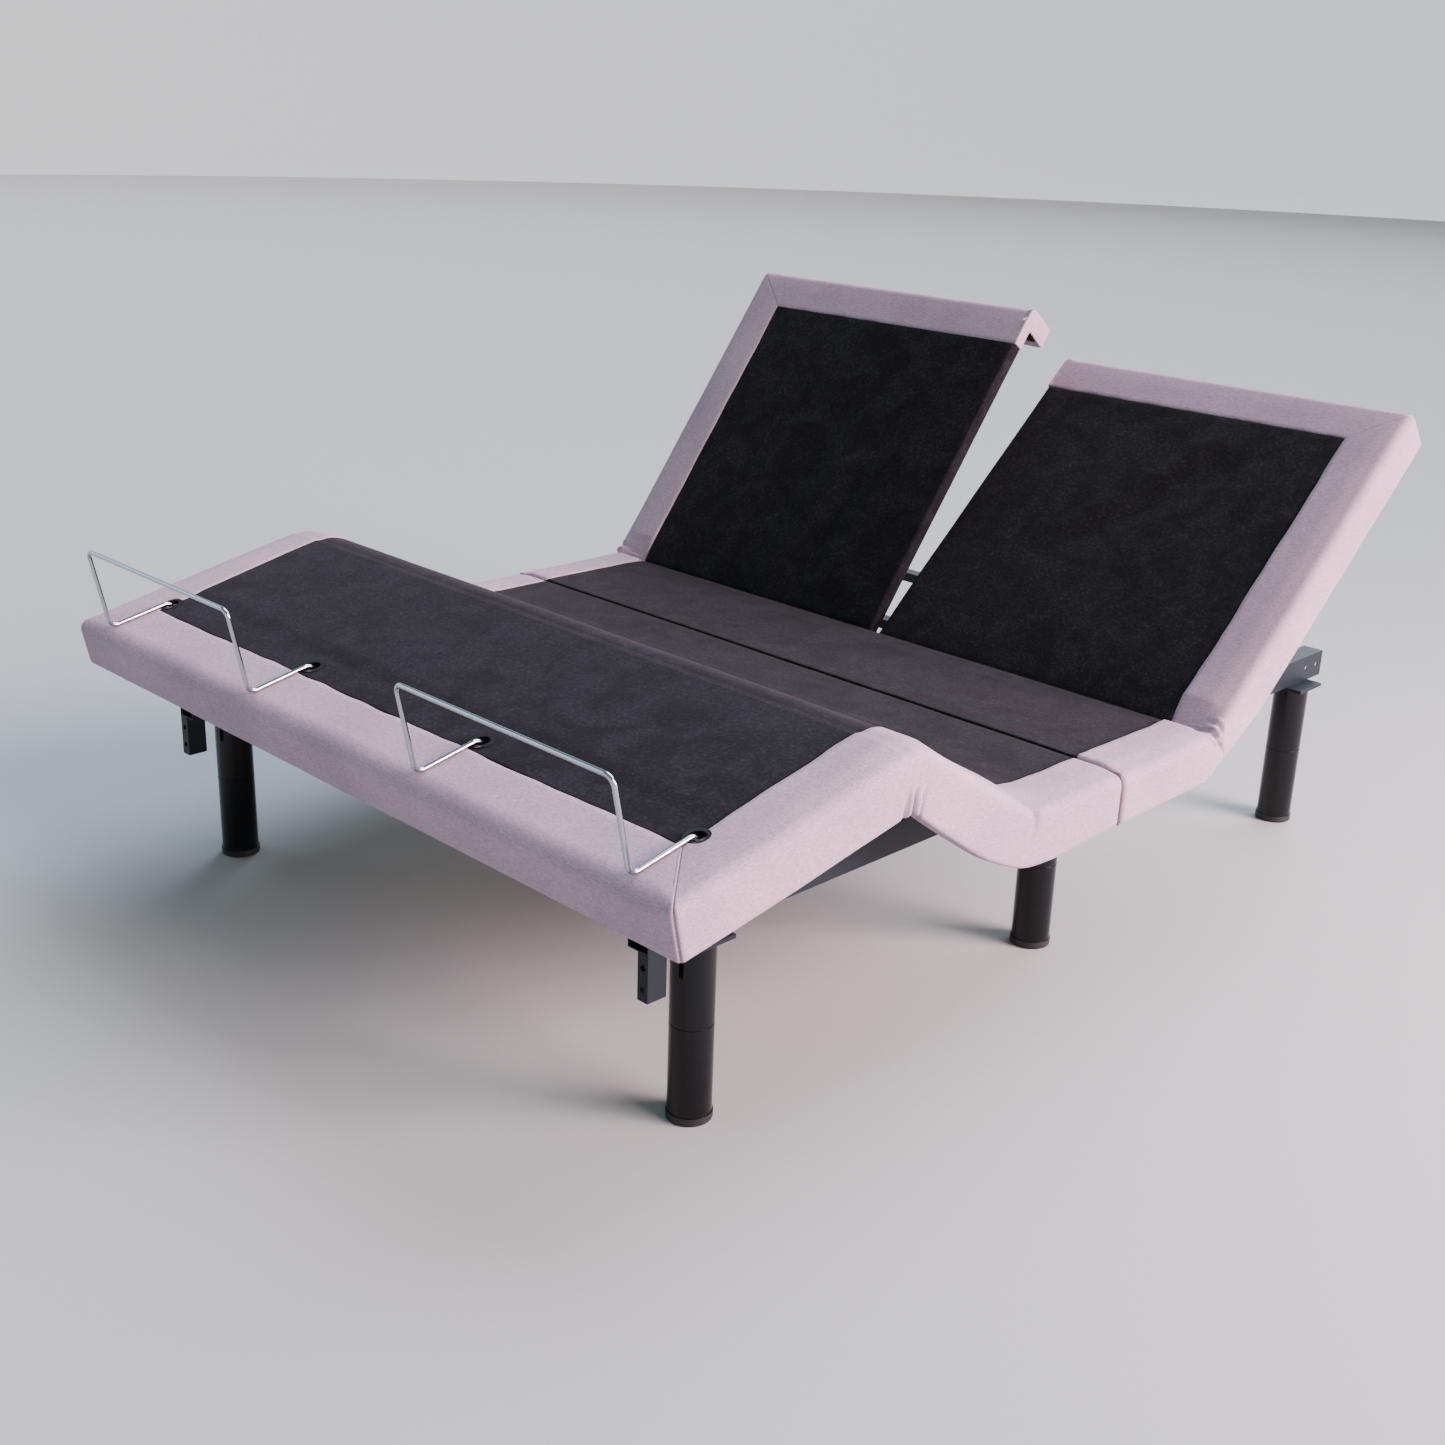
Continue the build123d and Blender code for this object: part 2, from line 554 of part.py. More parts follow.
def base_brackets(lugs):
    """The hinge lugs with the hanging ears of the actuators and the calf links."""
    made = list(lugs)
    for x, (y, z) in actuator_pivots():
        lean = -1 if x else 1
        root = sorted((y + lean * 8, y + lean * 40))
        points = [(root[0], RAIL_BOTTOM), (y - 12, z), (y + 12, z), (root[1], RAIL_BOTTOM)]
        for x0 in (x - 19, x + 13):
            ear = plate(x0, x0 + PLATE, points) + rod_x(x0, x0 + PLATE, y, z, ACTUATOR_EYE)
            made.append(ear - rod_x(x0 - 1, x0 + PLATE + 1, y, z, ACTUATOR_PIN))
    y, z = LINK_BASE
    x0 = LUG_OUT + PLATE + 2 * SIDE_GAP
    points = [(y - 22, RAIL_BOTTOM), (y - 12, z), (y + 12, z), (y + 22, RAIL_BOTTOM)]
    arm = plate(x0, x0 + PLATE, points) + rod_x(x0, x0 + PLATE, y, z, ACTUATOR_EYE)
    made += both_sides(arm - rod_x(x0 - 1, x0 + PLATE + 1, y, z, PIN_RADIUS))
    keep("base_hinge_brackets", *made)


def calf_links():
    """Two arms that steer the calf section; each upper pin runs in the calf lug's wide slot."""
    lug_y, lug_z = turned(LINK_LUG, CALF_ANGLE)
    top = (KNEE_Y + lug_y, KNEE_Z + lug_z)
    y, z = LINK_BASE
    length = math.hypot(top[0] - y, top[1] - z)
    angle = math.degrees(math.atan2(top[1] - z, top[0] - y))
    x0 = LUG_OUT + SIDE_GAP
    bar = block(x0, x0 + PLATE, 0, length, -LINK_HALF, LINK_HALF)
    for end in (0, length):
        bar = bar + rod_x(x0, x0 + PLATE, end, 0, LINK_HALF)
    bar = bar - rod_x(x0 - 1, x0 + PLATE + 1, 0, 0, PIN_RADIUS + RUNNING_GAP)
    bar = bar + rod_x(TUBE_OUTER + 0.5, x0 + 1, length, 0, PIN_RADIUS)
    arm = Pos(0, y, z) * Rot(angle, 0, 0) * bar
    keep("calf_links", *both_sides(arm))


def posts():
    """Hanging posts at the foot end that a footboard bolts to."""
    x0, x1 = RAIL_OUTER - POST_WIDTH, RAIL_OUTER
    y0, y1 = RAIL_FOOT_END, RAIL_FOOT_END + POST_LENGTH
    post = block(x0, x1, y0, y1, POST_BOTTOM, RAIL_BOTTOM)
    wall = RAIL_WALL
    post = post - block(x0 + wall, x1 - wall, y0 + wall, y1 - wall, POST_BOTTOM, RAIL_BOTTOM)
    for z in POST_HOLES:
        hole = Pos((x0 + x1) / 2, y0 + wall / 2, z) * Rot(90, 0, 0) * Cylinder(MOUNT_HOLE, 4 * wall)
        post = post - hole
    keep("footboard_posts", *both_sides(post))


def leg(x, y, top):
    """Round leg with a fine joint line and a hole in its top for the stud."""
    tube = rod_z(x, y, GLIDE_HEIGHT, top, LEG_RADIUS)
    tube = tube - rod_z(x, y, GLIDE_HEIGHT, top - 4, LEG_RADIUS - LEG_WALL)
    ring = rod_z(x, y, LEG_JOINT - 0.8, LEG_JOINT + 0.8, LEG_RADIUS + 1)
    ring = ring - rod_z(x, y, LEG_JOINT - 2, LEG_JOINT + 2, LEG_RADIUS - 0.7)
    return tube - ring - rod_z(x, y, top - 5, top + 1, STUD_HOLE)


def leg_plate(sign, y, top):
    """The plate that a leg screws into, and its two screws, under the rail."""
    half = LEG_PLATE_LENGTH / 2
    x_in, x_out = sign * LEG_PLATE_INNER, sign * LEG_PLATE_OUTER
    pad = block(x_in, x_out, y - half, y + half, top, RAIL_BOTTOM)
    pad = pad - rod_z(sign * LEG_X, y, top - 1, RAIL_BOTTOM + 1, STUD_HOLE)
    screws = []
    for dy in LEG_SCREWS:
        at = (sign * LEG_SCREW_X, y + dy)
        pad = pad - rod_z(*at, top - 1, RAIL_BOTTOM + 1, SCREW_HOLE)
        screws.append(rod_z(*at, top - 4, RAIL_BOTTOM + 6, 3.0) + rod_z(*at, top - 4, top, 5.0))
    return pad, screws


def leg_glide(x, y):
    glide = rod_z(x, y, 0, GLIDE_HEIGHT, LEG_RADIUS + 1.5)
    glide = fillet(glide.edges().group_by(Axis.Z)[0], 2.0)
    plug_radius = LEG_RADIUS - LEG_WALL - 0.1
    return glide + rod_z(x, y, GLIDE_HEIGHT, GLIDE_HEIGHT + 16, plug_radius)


def legs():
    """Six screw-on legs with their plates and glides. Returns the screws and studs."""
    plates, glides, bolts = [], [], []
    top = RAIL_BOTTOM - LEG_PLATE
    for place, y in LEG_Y.items():
        for side, sign in SIDES.items():
            x = sign * LEG_X
            keep(f"leg_{place}_{side}", leg(x, y, top))
            pad, screws = leg_plate(sign, y, top)
            plates.append(pad)
            bolts += screws
            stud = rod_z(x, y, top - 12, RAIL_BOTTOM - 0.5, STUD_RADIUS)
            bolts.append(stud + rod_z(x, y, top - 12, top - 4, 8.5))
            glides.append(leg_glide(x, y))
    keep("leg_plates", *plates)
    keep("leg_glides", *glides)
    return bolts


def control_box():
    """Box under the seat with four actuator sockets and a wider power socket."""
    body = block(*BOX_X, *BOX_Y, RAIL_TOP - BOX_DEPTH, RAIL_TOP)
    body = fillet(body.edges().filter_by(Axis.Z), 8.0)
    face = (BOX_Y[1] - 2, BOX_Y[1] + 1)
    for i in range(4):
        x = BOX_X[0] + 22 + i * SOCKET_PITCH
        body = body - block(x, x + 18, *face, RAIL_TOP - 32, RAIL_TOP - 18)
    body = body - block(BOX_X[1] - 40, BOX_X[1] - 14, *face, RAIL_TOP - 34, RAIL_TOP - 14)
    keep("control_box", body)


def actuator(name, x, pivot, flat_pin, pin):
    """Linear actuator: a pivoting motor and tube, and the rod that slides out of it."""
    flat_length = math.hypot(flat_pin[0] - pivot[0], flat_pin[1] - pivot[1])
    length = math.hypot(pin[0] - pivot[0], pin[1] - pivot[1])
    angle = math.degrees(math.atan2(pin[1] - pivot[1], pin[0] - pivot[0]))
    way = 1 if abs(angle) < 90 else -1
    tilt = angle if way > 0 else angle - 180
    place = Pos(x, pivot[0], pivot[1]) * Rot(tilt, 0, 0)

    def along(u0, u1, radius, drop=0.0):
        middle = way * (u0 + u1) / 2
        return Pos(0, middle, -drop) * Rot(90, 0, 0) * Cylinder(radius, abs(u1 - u0))

    tube_end = flat_length - 60
    eye = ACTUATOR_EYE
    housing = block(-eye, eye, 0, way * 24, -eye, eye) + rod_x(-eye, eye, 0, 0, eye)
    gearbox = block(-32, 32, way * 20, way * 70, -88, 30)
    gearbox = fillet(gearbox.edges().filter_by(Axis.Z), 6.0)
    housing = housing + gearbox + along(70, 190, MOTOR_RADIUS, MOTOR_DROP)
    housing = housing - rod_x(-40, 40, 0, 0, ACTUATOR_PIN + RUNNING_GAP)
    keep(f"{name}_motor", place * housing)
    tube = along(70, tube_end, TUBE_RADIUS) - along(74, tube_end + 1, ROD_RADIUS + RUNNING_GAP)
    keep(f"{name}_tube", place * tube)
    rod = along(length - (flat_length - 78), length - 8, ROD_RADIUS)
    rod = rod + rod_x(-10, 10, way * length, 0, ROD_RADIUS)
    keep(f"{name}_rod", place * (rod + rod_x(-18.5, 18.5, way * length, 0, ACTUATOR_PIN)))


def actuators():
    flat = turned((LEVER, 0.0), HEAD_LEVER_ANGLE)
    (left_x, head_pivot), (right_x, _), (mid_x, thigh_pivot) = actuator_pivots()
    flat_pin = (flat[0], AXIS_Z + flat[1])
    for name, x, angle in (("left", left_x, HEAD_LEFT_ANGLE), ("right", right_x, HEAD_RIGHT_ANGLE)):
        raised = turned(flat, angle)
        pin = (raised[0], AXIS_Z + raised[1])
        actuator(f"head_{name}_actuator", x, head_pivot, flat_pin, pin)
    flat = turned((LEVER, 0.0), THIGH_LEVER_ANGLE)
    raised = turned(flat, -THIGH_ANGLE)
    flat_pin = (HIP_Y + flat[0], AXIS_Z + flat[1])
    pin = (HIP_Y + raised[0], AXIS_Z + raised[1])
    actuator("foot_actuator", mid_x, thigh_pivot, flat_pin, pin)


os.makedirs("parts", exist_ok=True)
head_section("left")
head_section("right")
seat_section()
thigh_section()
calf_section()
retainer_bar("retainer_bar_left", -BAR_X)
retainer_bar("retainer_bar_right", BAR_X)
cross_tubes()
base_brackets(base_hinge_lugs())
calf_links()
posts()
keep("frame_bolts", *rails(), *legs())
control_box()
actuators()
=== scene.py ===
import json
import math
import bmesh
import bpy
import numpy as np
from mathutils import Matrix, Vector, noise


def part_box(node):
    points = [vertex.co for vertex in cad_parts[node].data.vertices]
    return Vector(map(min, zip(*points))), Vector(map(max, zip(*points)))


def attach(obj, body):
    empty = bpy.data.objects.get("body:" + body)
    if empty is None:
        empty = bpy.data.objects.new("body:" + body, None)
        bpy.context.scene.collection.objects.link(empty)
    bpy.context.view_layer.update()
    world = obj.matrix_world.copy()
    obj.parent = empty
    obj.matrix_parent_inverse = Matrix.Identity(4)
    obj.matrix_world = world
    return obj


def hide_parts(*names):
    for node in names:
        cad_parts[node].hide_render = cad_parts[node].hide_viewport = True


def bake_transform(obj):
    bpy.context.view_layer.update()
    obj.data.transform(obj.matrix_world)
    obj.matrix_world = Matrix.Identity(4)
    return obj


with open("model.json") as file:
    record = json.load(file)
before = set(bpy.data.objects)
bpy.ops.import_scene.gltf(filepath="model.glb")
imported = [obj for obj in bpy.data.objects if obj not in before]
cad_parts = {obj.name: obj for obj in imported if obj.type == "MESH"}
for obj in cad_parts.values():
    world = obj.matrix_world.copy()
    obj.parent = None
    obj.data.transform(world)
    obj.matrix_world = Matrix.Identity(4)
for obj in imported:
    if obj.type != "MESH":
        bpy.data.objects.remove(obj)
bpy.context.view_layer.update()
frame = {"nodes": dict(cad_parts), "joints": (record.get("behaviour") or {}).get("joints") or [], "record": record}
bpy.ops.object.select_all(action="DESELECT")

# Sizes, in metres ------------------------------------------------------------

JOINTS = {j["name"]: j for j in frame["joints"]}


def axis_of(name):
    """(y, z) of a joint's axis."""
    return np.array(JOINTS[name]["pos_m"][1:])


HEAD_AXIS = axis_of("head_left_hinge")
HIP_AXIS = axis_of("thigh_hinge")
KNEE_AXIS = axis_of("knee_hinge")
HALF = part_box("thigh_border")[1].x  # half the bed's width
THIGH_LENGTH = float(np.linalg.norm(KNEE_AXIS - HIP_AXIS))
THIGH_ANGLE = math.atan2(KNEE_AXIS[1] - HIP_AXIS[1], HIP_AXIS[0] - KNEE_AXIS[0])
CALF_ANGLE = math.radians(11.84)
HEAD_ANGLE = {
    side: math.radians(-JOINTS[f"head_{side}_hinge"]["range_deg"][0]) for side in ("left", "right")
}
HEAD_LENGTH = 0.738  # hinge line to head end
CALF_LENGTH = 0.468  # knee line to foot end
AXIS_DROP = 0.012  # hinge lines below the deck's top
DEPTH = 0.082  # upholstered edge, top to bottom
SIDE_BAND = 0.093  # its width along the sides,
HEAD_BAND = 0.084  # across the head end
FOOT_BAND = 0.107  # and across the foot end
SEAT_SEAM = 0.280  # head hinge line to the seam across the seat
SEAM_HALF = 0.0011  # half the gap at that seam
SPLIT_HALF = 0.0105  # half the gap between the heads
BOARD_UNDER = 0.0242  # wrapped underside of a deck board, below the deck's top
SIDES = {"left": -1.0, "right": 1.0}
SOCKET_ALONG = 0.334  # knee line to the retainer cups
SOCKETS = [bar * 0.436 + end * 0.220 for bar in (-1, 1) for end in (-1, 1)]


def turned(direction, angle):
    c, s = math.cos(angle), math.sin(angle)
    return (c * direction[0] - s * direction[1], s * direction[0] + c * direction[1])


class Section:
    """One flat part of the deck, (y, z): its hinge line, the way it runs and the way it faces."""

    def __init__(self, origin, run, angle):
        self.origin = np.array(origin, float)
        self.run = np.array(turned(run, angle), float)
        self.up = np.array(turned((0, 1), angle), float)

    def at(self, along, below=0.0):
        """(y, z) of a point that far along the section and below its top."""
        return self.origin + self.run * along + self.up * (AXIS_DROP - below)


SEAT = Section(HEAD_AXIS, (-1, 0), 0)
THIGH = Section(HIP_AXIS, (-1, 0), -THIGH_ANGLE)
CALF = Section(KNEE_AXIS, (-1, 0), CALF_ANGLE)
HEADS = {side: Section(HEAD_AXIS, (1, 0), angle) for side, angle in HEAD_ANGLE.items()}
# The planes halfway between two sections, in which the cloth folds
HIP = Section(HIP_AXIS, (-1, 0), -THIGH_ANGLE / 2)
KNEE = Section(KNEE_AXIS, (-1, 0), (CALF_ANGLE - THIGH_ANGLE) / 2)
HINGES = {side: Section(HEAD_AXIS, (1, 0), angle / 2) for side, angle in HEAD_ANGLE.items()}

KNEE_BEND = THIGH_ANGLE + CALF_ANGLE
KNEE_RADIUS = 0.075
KNEE_TANGENT = KNEE_RADIUS * math.tan(KNEE_BEND / 2)
# Where runs of cloth meet: in the middle of the thigh, up a head, and past the knee
MID_THIGH = 0.167
MID_THIGH_DEPTH = 0.0975
MID_THIGH_BRIDGE = 0.0052
HEAD_RUN_END = 0.500
KNEE_RUN_END = 0.270
KNEE_RUN_DEPTH = 0.0885


def smooth(x, low, high):
    """0 below low, 1 above high, and a smooth step between them."""
    t = np.clip((np.asarray(x, float) - low) / (high - low), 0, 1)
    return t * t * (3 - 2 * t)


def ridge(x, middle, width):
    return np.exp(-(((np.asarray(x, float) - middle) / width) ** 2))


# Materials -------------------------------------------------------------------


def colour(code):
    """An sRGB hex value as the linear colour that shaders take."""
    parts = [int(code[i : i + 2], 16) / 255 for i in (1, 3, 5)]
    return [p / 12.92 if p < 0.04045 else ((p + 0.055) / 1.055) ** 2.4 for p in parts] + [1.0]


def cells(size):
    """The noise scale whose cells are that many millimetres across."""
    return 1000 / size


def join(tree, node, links):
    """Links sockets of a node, by name or number, each to a (node, output)."""
    for key, (source, output) in links.items():
        tree.links.new(source.outputs[output], node.inputs[key])


def add(tree, kind, settings=None, links=None, stops=()):
    """Adds a node. Settings are attributes or sockets, and stops are (place, sRGB hex)."""
    node = tree.nodes.new(kind)
    for key, value in (settings or {}).items():
        if isinstance(key, int) or key in node.inputs:
            node.inputs[key].default_value = value
        else:
            setattr(node, key, value)
    join(tree, node, links or {})
    for i, (place, code) in enumerate(stops):
        marks = node.color_ramp.elements
        mark = marks[i] if i < len(marks) else marks.new(place)
        mark.position, mark.color = place, colour(code)
    return node


def material(name, **shader):
    """A new material, its tree and its shader, with the shader's sockets set by name."""
    made = bpy.data.materials.new(name)
    made.use_nodes = True
    body = made.node_tree.nodes["Principled BSDF"]
    for key, value in shader.items():
        body.inputs[key.replace("_", " ")].default_value = value
    return made, made.node_tree, body


def linen():
    """Linen-look polyester: a matt heathered weave whose threads show as light and dark flecks."""
    made, tree, body = material(
        "linen_look_polyester",
        Roughness=0.9,
        Specular_IOR_Level=0.25,
        Sheen_Weight=0.12,
        Sheen_Roughness=0.4,
        Sheen_Tint=colour("#e8dce6"),
    )
    place = add(tree, "ShaderNodeTexCoord")
    # Threads are about 0.8 mm apart; they are drawn 1.8 mm apart so that they show
    thread = cells(1.8)
    # A thread's thick places are about five times as long as it is wide
    slub = thread * 0.2
    lines = []
    for scale in ((slub, thread, thread), (thread, slub, thread)):
        fit = add(tree, "ShaderNodeMapping", {"Scale": scale}, {"Vector": (place, "Object")})
        lines.append(
            add(
                tree,
                "ShaderNodeTexNoise",
                {"Scale": 1.0, "Detail": 2.0, "Roughness": 0.6},
                {"Vector": (fit, "Vector")},
            )
        )
    weave = add(
        tree,
        "ShaderNodeMix",
        {"data_type": "FLOAT", 0: 0.5},
        {2: (lines[0], "Fac"), 3: (lines[1], "Fac")},
    )
    heather = add(
        tree,
        "ShaderNodeValToRGB",
        links={"Fac": (weave, 0)},
        stops=[(0.36, "#96818c"), (0.5, "#a6919d"), (0.64, "#b6a3ae")],
    )
    # Slow changes of shade over the cloth, about 143 mm across
    cloud = add(
        tree,
        "ShaderNodeTexNoise",
        {"Scale": cells(143), "Detail": 2.0},
        {"Vector": (place, "Object")},
    )
    tint = add(
        tree,
        "ShaderNodeValToRGB",
        links={"Fac": (cloud, "Fac")},
        stops=[(0.35, "#cfcbd6"), (0.65, "#ffffff")],
    )
    mixed = add(
        tree,
        "ShaderNodeMix",
        {"data_type": "RGBA", "blend_type": "MULTIPLY", 0: 0.35},
        {6: (heather, "Color"), 7: (tint, "Color")},
    )
    bump = add(
        tree, "ShaderNodeBump", {"Strength": 0.45, "Distance": 0.0006}, {"Height": (weave, 0)}
    )
    join(tree, body, {"Base Color": (mixed, 2), "Normal": (bump, "Normal")})
    return made


def felt():
    """Black non-woven felt: matt, greyer at a low angle because loose fibres catch the light."""
    made, tree, body = material(
        "black_nonwoven_felt",
        Roughness=0.95,
        Specular_IOR_Level=0.12,
        Sheen_Weight=0.06,
        Sheen_Roughness=0.45,
        Sheen_Tint=colour("#b8b0bc"),
    )
    place = add(tree, "ShaderNodeTexCoord")
    # Fibre clumps are up to 5.9 mm across, with finer ones inside them
    clumps = add(
        tree,
        "ShaderNodeTexNoise",
        {"Scale": cells(5.88), "Detail": 7.0, "Roughness": 0.72},
        {"Vector": (place, "Object")},
    )
    # Patches where the nap lies another way, about 62 mm across
    patches = add(
        tree,
        "ShaderNodeTexNoise",
        {"Scale": cells(62.5), "Detail": 5.0, "Distortion": 0.8},
        {"Vector": (place, "Object")},
    )
    fibre = add(
        tree,
        "ShaderNodeValToRGB",
        links={"Fac": (clumps, "Fac")},
        stops=[(0.34, "#101013"), (0.54, "#1c1b1f"), (0.74, "#333237")],
    )
    nap = add(
        tree,
        "ShaderNodeValToRGB",
        links={"Fac": (patches, "Fac")},
        stops=[(0.36, "#bab8bc"), (0.64, "#ffffff")],
    )
    mixed = add(
        tree,
        "ShaderNodeMix",
        {"data_type": "RGBA", "blend_type": "MULTIPLY", 0: 1.0},
        {6: (fibre, "Color"), 7: (nap, "Color")},
    )
    bump = add(
        tree, "ShaderNodeBump", {"Strength": 0.6, "Distance": 0.0008}, {"Height": (clumps, "Fac")}
    )
    join(tree, body, {"Base Color": (mixed, 2), "Normal": (bump, "Normal")})
    return made


def grained(name, size, shades, rough, strength, spread=0.15, stretch=(1, 1, 1), **shader):
    """A finish whose shade, roughness and surface vary with a grain of that size in mm."""
    made, tree, body = material(name, **shader)
    place = add(tree, "ShaderNodeTexCoord")
    scale = [cells(size) * s for s in stretch]
    fit = add(tree, "ShaderNodeMapping", {"Scale": scale}, {"Vector": (place, "Object")})
    grain = add(
        tree,
        "ShaderNodeTexNoise",
        {"Scale": 1.0, "Detail": 4.0, "Roughness": 0.6},
        {"Vector": (fit, "Vector")},
    )
    shade = add(
        tree,
        "ShaderNodeValToRGB",
        links={"Fac": (grain, "Fac")},
        stops=[(0.5 - spread, shades[0]), (0.5 + spread, shades[1])],
    )
    gloss = add(
        tree,
        "ShaderNodeMapRange",
        {"To Min": rough[0], "To Max": rough[1]},
        {"Value": (grain, "Fac")},
    )
    bump = add(
        tree,
        "ShaderNodeBump",
        {"Strength": strength, "Distance": 0.0003},
        {"Height": (grain, "Fac")},
    )
    join(
        tree,
        body,
        {
            "Base Color": (shade, "Color"),
            "Roughness": (gloss, "Result"),
            "Normal": (bump, "Normal"),
        },
    )
    return made


# Each finish: its grain in mm, its dark and light shades, its roughness and its bump.
# Grains finer than about 1 mm would not show, so they are drawn about 1 mm wide.
FINISHES = {
    # Satin powder coat over steel: orange peel that blurs what it reflects
    "frame_powder_coat": grained(
        "satin_powder_coat",
        1.54,
        ("#0f161a", "#172026"),
        (0.36, 0.5),
        0.35,
        Specular_IOR_Level=0.22,
    ),
    # Gloss enamel on steel tube: deep black with a clear highlight down its length
    "leg_gloss_black": grained(
        "gloss_black_enamel",
        16.7,
        ("#030304", "#06080a"),
        (0.08, 0.16),
        0.05,
        Specular_IOR_Level=0.3,
    ),
    # Moulded nylon: dull black with a fine moulded texture
    "glide_plastic": grained("moulded_nylon", 1.11, ("#0b0c0d", "#131416"), (0.45, 0.6), 0.3),
    # Bright zinc plate: pale blue-grey metal, slightly cloudy
    "zinc_steel": grained(
        "bright_zinc_plate", 8.33, ("#8f959c", "#b9bec4"), (0.28, 0.45), 0.15, Metallic=1.0
    ),
    # Ground steel rod: fine marks that soften its highlight
    "rod_steel": grained(
        "ground_steel", 1.11, ("#9a9da1", "#c2c5c8"), (0.18, 0.3), 0.15, Metallic=1.0
    ),
    # Anodised aluminium tube: even silver-grey with a soft matt bloom
    "actuator_tube": grained(
        "anodised_aluminium", 2.0, ("#868b91", "#a4a8ad"), (0.3, 0.42), 0.12, Metallic=1.0
    ),
    # Moulded ABS: near black, spark-eroded texture, a low sheen
    "black_plastic": grained("moulded_abs", 0.91, ("#121314", "#1c1d1f"), (0.42, 0.6), 0.45),
    # Birch plywood: warm long grain, paler and darker stripes
    "plywood": grained(
        "birch_plywood",
        6.25,
        ("#a07c4e", "#c9a878"),
        (0.5, 0.7),
        0.25,
        spread=0.2,
        stretch=(0.05, 1, 1),
    ),
    # Chrome plate on drawn wire: bright, with faint drawing marks
    "retainer_chrome": grained(
        "chrome_plated_wire", 1.11, ("#a6a9af", "#c8cace"), (0.10, 0.18), 0.06, Metallic=1.0
    ),
    # Moulded ABS cup: black, a little glossier than the felt round it
    "socket_plastic": grained(
        "moulded_abs_cup",
        0.91,
        ("#060607", "#0b0b0d"),
        (0.42, 0.55),
        0.3,
        Specular_IOR_Level=0.25,
    ),
    "border_fabric": linen(),
    "deck_fabric": felt(),
}


def paint(obj, slot):
    obj.data.materials.clear()
    obj.data.materials.append(FINISHES[slot])


for row in frame["record"]["subparts"]:
    node = frame["nodes"][row["node"]]
    node.data.materials.clear()
    node.data.materials.append(FINISHES[row["material_slot"]])


# Soft pieces -----------------------------------------------------------------

# How full each padded kind is, and how deep and how long its slow waves are
SOFTNESS = {"border_fabric": (0.85, 0.0007, 0.11), "deck_fabric": (0.9, 0.0009, 0.16)}
TOP_SKIN = -0.0035  # outline points above this are the top surface


class Ring:
    """One cross-section of a soft piece: its points, the way inward and the way up."""

    def __init__(self, points, inward, up, crown=0.0, bridge=0.0):
        self.points = np.array(points, float)
        self.inward = np.array(inward, float)
        self.up = np.array(up, float)
        self.crown = crown
        self.bridge = bridge

    def mix(self, other, t):
        def between(a, b):
            return a * (1 - t) + b * t

        return Ring(
            between(self.points, other.points),
            between(self.inward, other.inward),
            between(self.up, other.up),
            between(self.crown, other.crown),
            between(self.bridge, other.bridge),
        )


def fill_rings(keys, counts):
    """Key rings with straight runs of rings between them."""
    rings = [keys[0]]
    for a, b, n in zip(keys, keys[1:], counts):
        rings += [a.mix(b, (i + 1) / n) for i in range(n)]
    return rings


def arc(centre, radius, start, end, steps):
    angles = np.radians(np.linspace(start, end, steps + 1))
    return [(centre[0] + radius * math.cos(a), centre[1] + radius * math.sin(a)) for a in angles]


def band_profile(hem, edge):
    """Closed outline of an upholstered edge: inward from the outer face, and up from the top."""
    low = 0.006  # radius of the lower corner
    board = 0.0122  # outer face of the boards inside
    inner = SIDE_BAND
    # The tucked inner edge, the top, the rounded outer edge and the outer face
    outline = [(inner, -0.0076), (inner, -0.0030), (inner - 0.0007, -0.0012), (inner - 0.0026, 0.0)]
    outline += [(u, 0.0) for u in np.linspace(inner - 0.009, edge + 0.004, 8)]
    outline += arc((edge, -edge), edge, 90, 180, 6)
    outline += [(0.0, w) for w in np.linspace(-edge - 0.006, low - DEPTH + 0.004, 8)]
    outline += arc((low, low - DEPTH), low, 180, 270, 4)
    # The hem, which wraps the board's lower edge and a little way up behind it
    outline += [(hem * 0.6, -DEPTH - 0.0006), (hem - 0.002, -DEPTH), (hem, -DEPTH + 0.002)]
    outline += [(hem, -DEPTH + 0.022), (hem - 0.0012, -DEPTH + 0.022)]
    outline += [(hem - 0.0012, -DEPTH + 0.0026)]
    # Back along the boards
    outline += [(board, -DEPTH + 0.0017), (board, -0.0234), (board, -0.0079)]
    return np.array(outline)


def outward_normals(outline):
    """Outward unit normals of a closed outline."""
    back, ahead = np.roll(outline, 1, 0), np.roll(outline, -1, 0)
    edge = ahead - back
    normal = np.stack([edge[:, 1], -edge[:, 0]], 1)
    area = np.sum(outline[:, 0] * ahead[:, 1] - ahead[:, 0] * outline[:, 1])
    normal *= 1 if area > 0 else -1
    return normal / np.maximum(np.linalg.norm(normal, axis=1, keepdims=True), 1e-9)


def turned_in(rings, last, radius, sink, steps=4):
    """Turns in the last (or first) end of a run; sink says how an inset moves the points."""
    order = rings if last else rings[::-1]
    end, before = order[-1], order[-2]
    way = (end.points - before.points).mean(0)
    way /= np.linalg.norm(way)
    base = end.points - way * radius
    made = [r for r in order if ((r.points - end.points).mean(0) @ way) < -radius * 1.05]
    for i in range(steps + 1):
        a = math.pi / 2 * i / steps
        ring = end.mix(end, 0)
        ring.points = base - sink(end, radius * (1 - math.cos(a))) + way * radius * math.sin(a)
        made.append(ring)
    return made if last else made[::-1]


def rounded(rings, outline, radius, last=True):
    """Rounds an end all round, as foam that turns in at a seam."""
    normal = outward_normals(outline)

    def sink(end, inset):
        return inset * (normal[:, :1] * end.inward + normal[:, 1:] * end.up)

    return turned_in(rings, last, radius, sink)


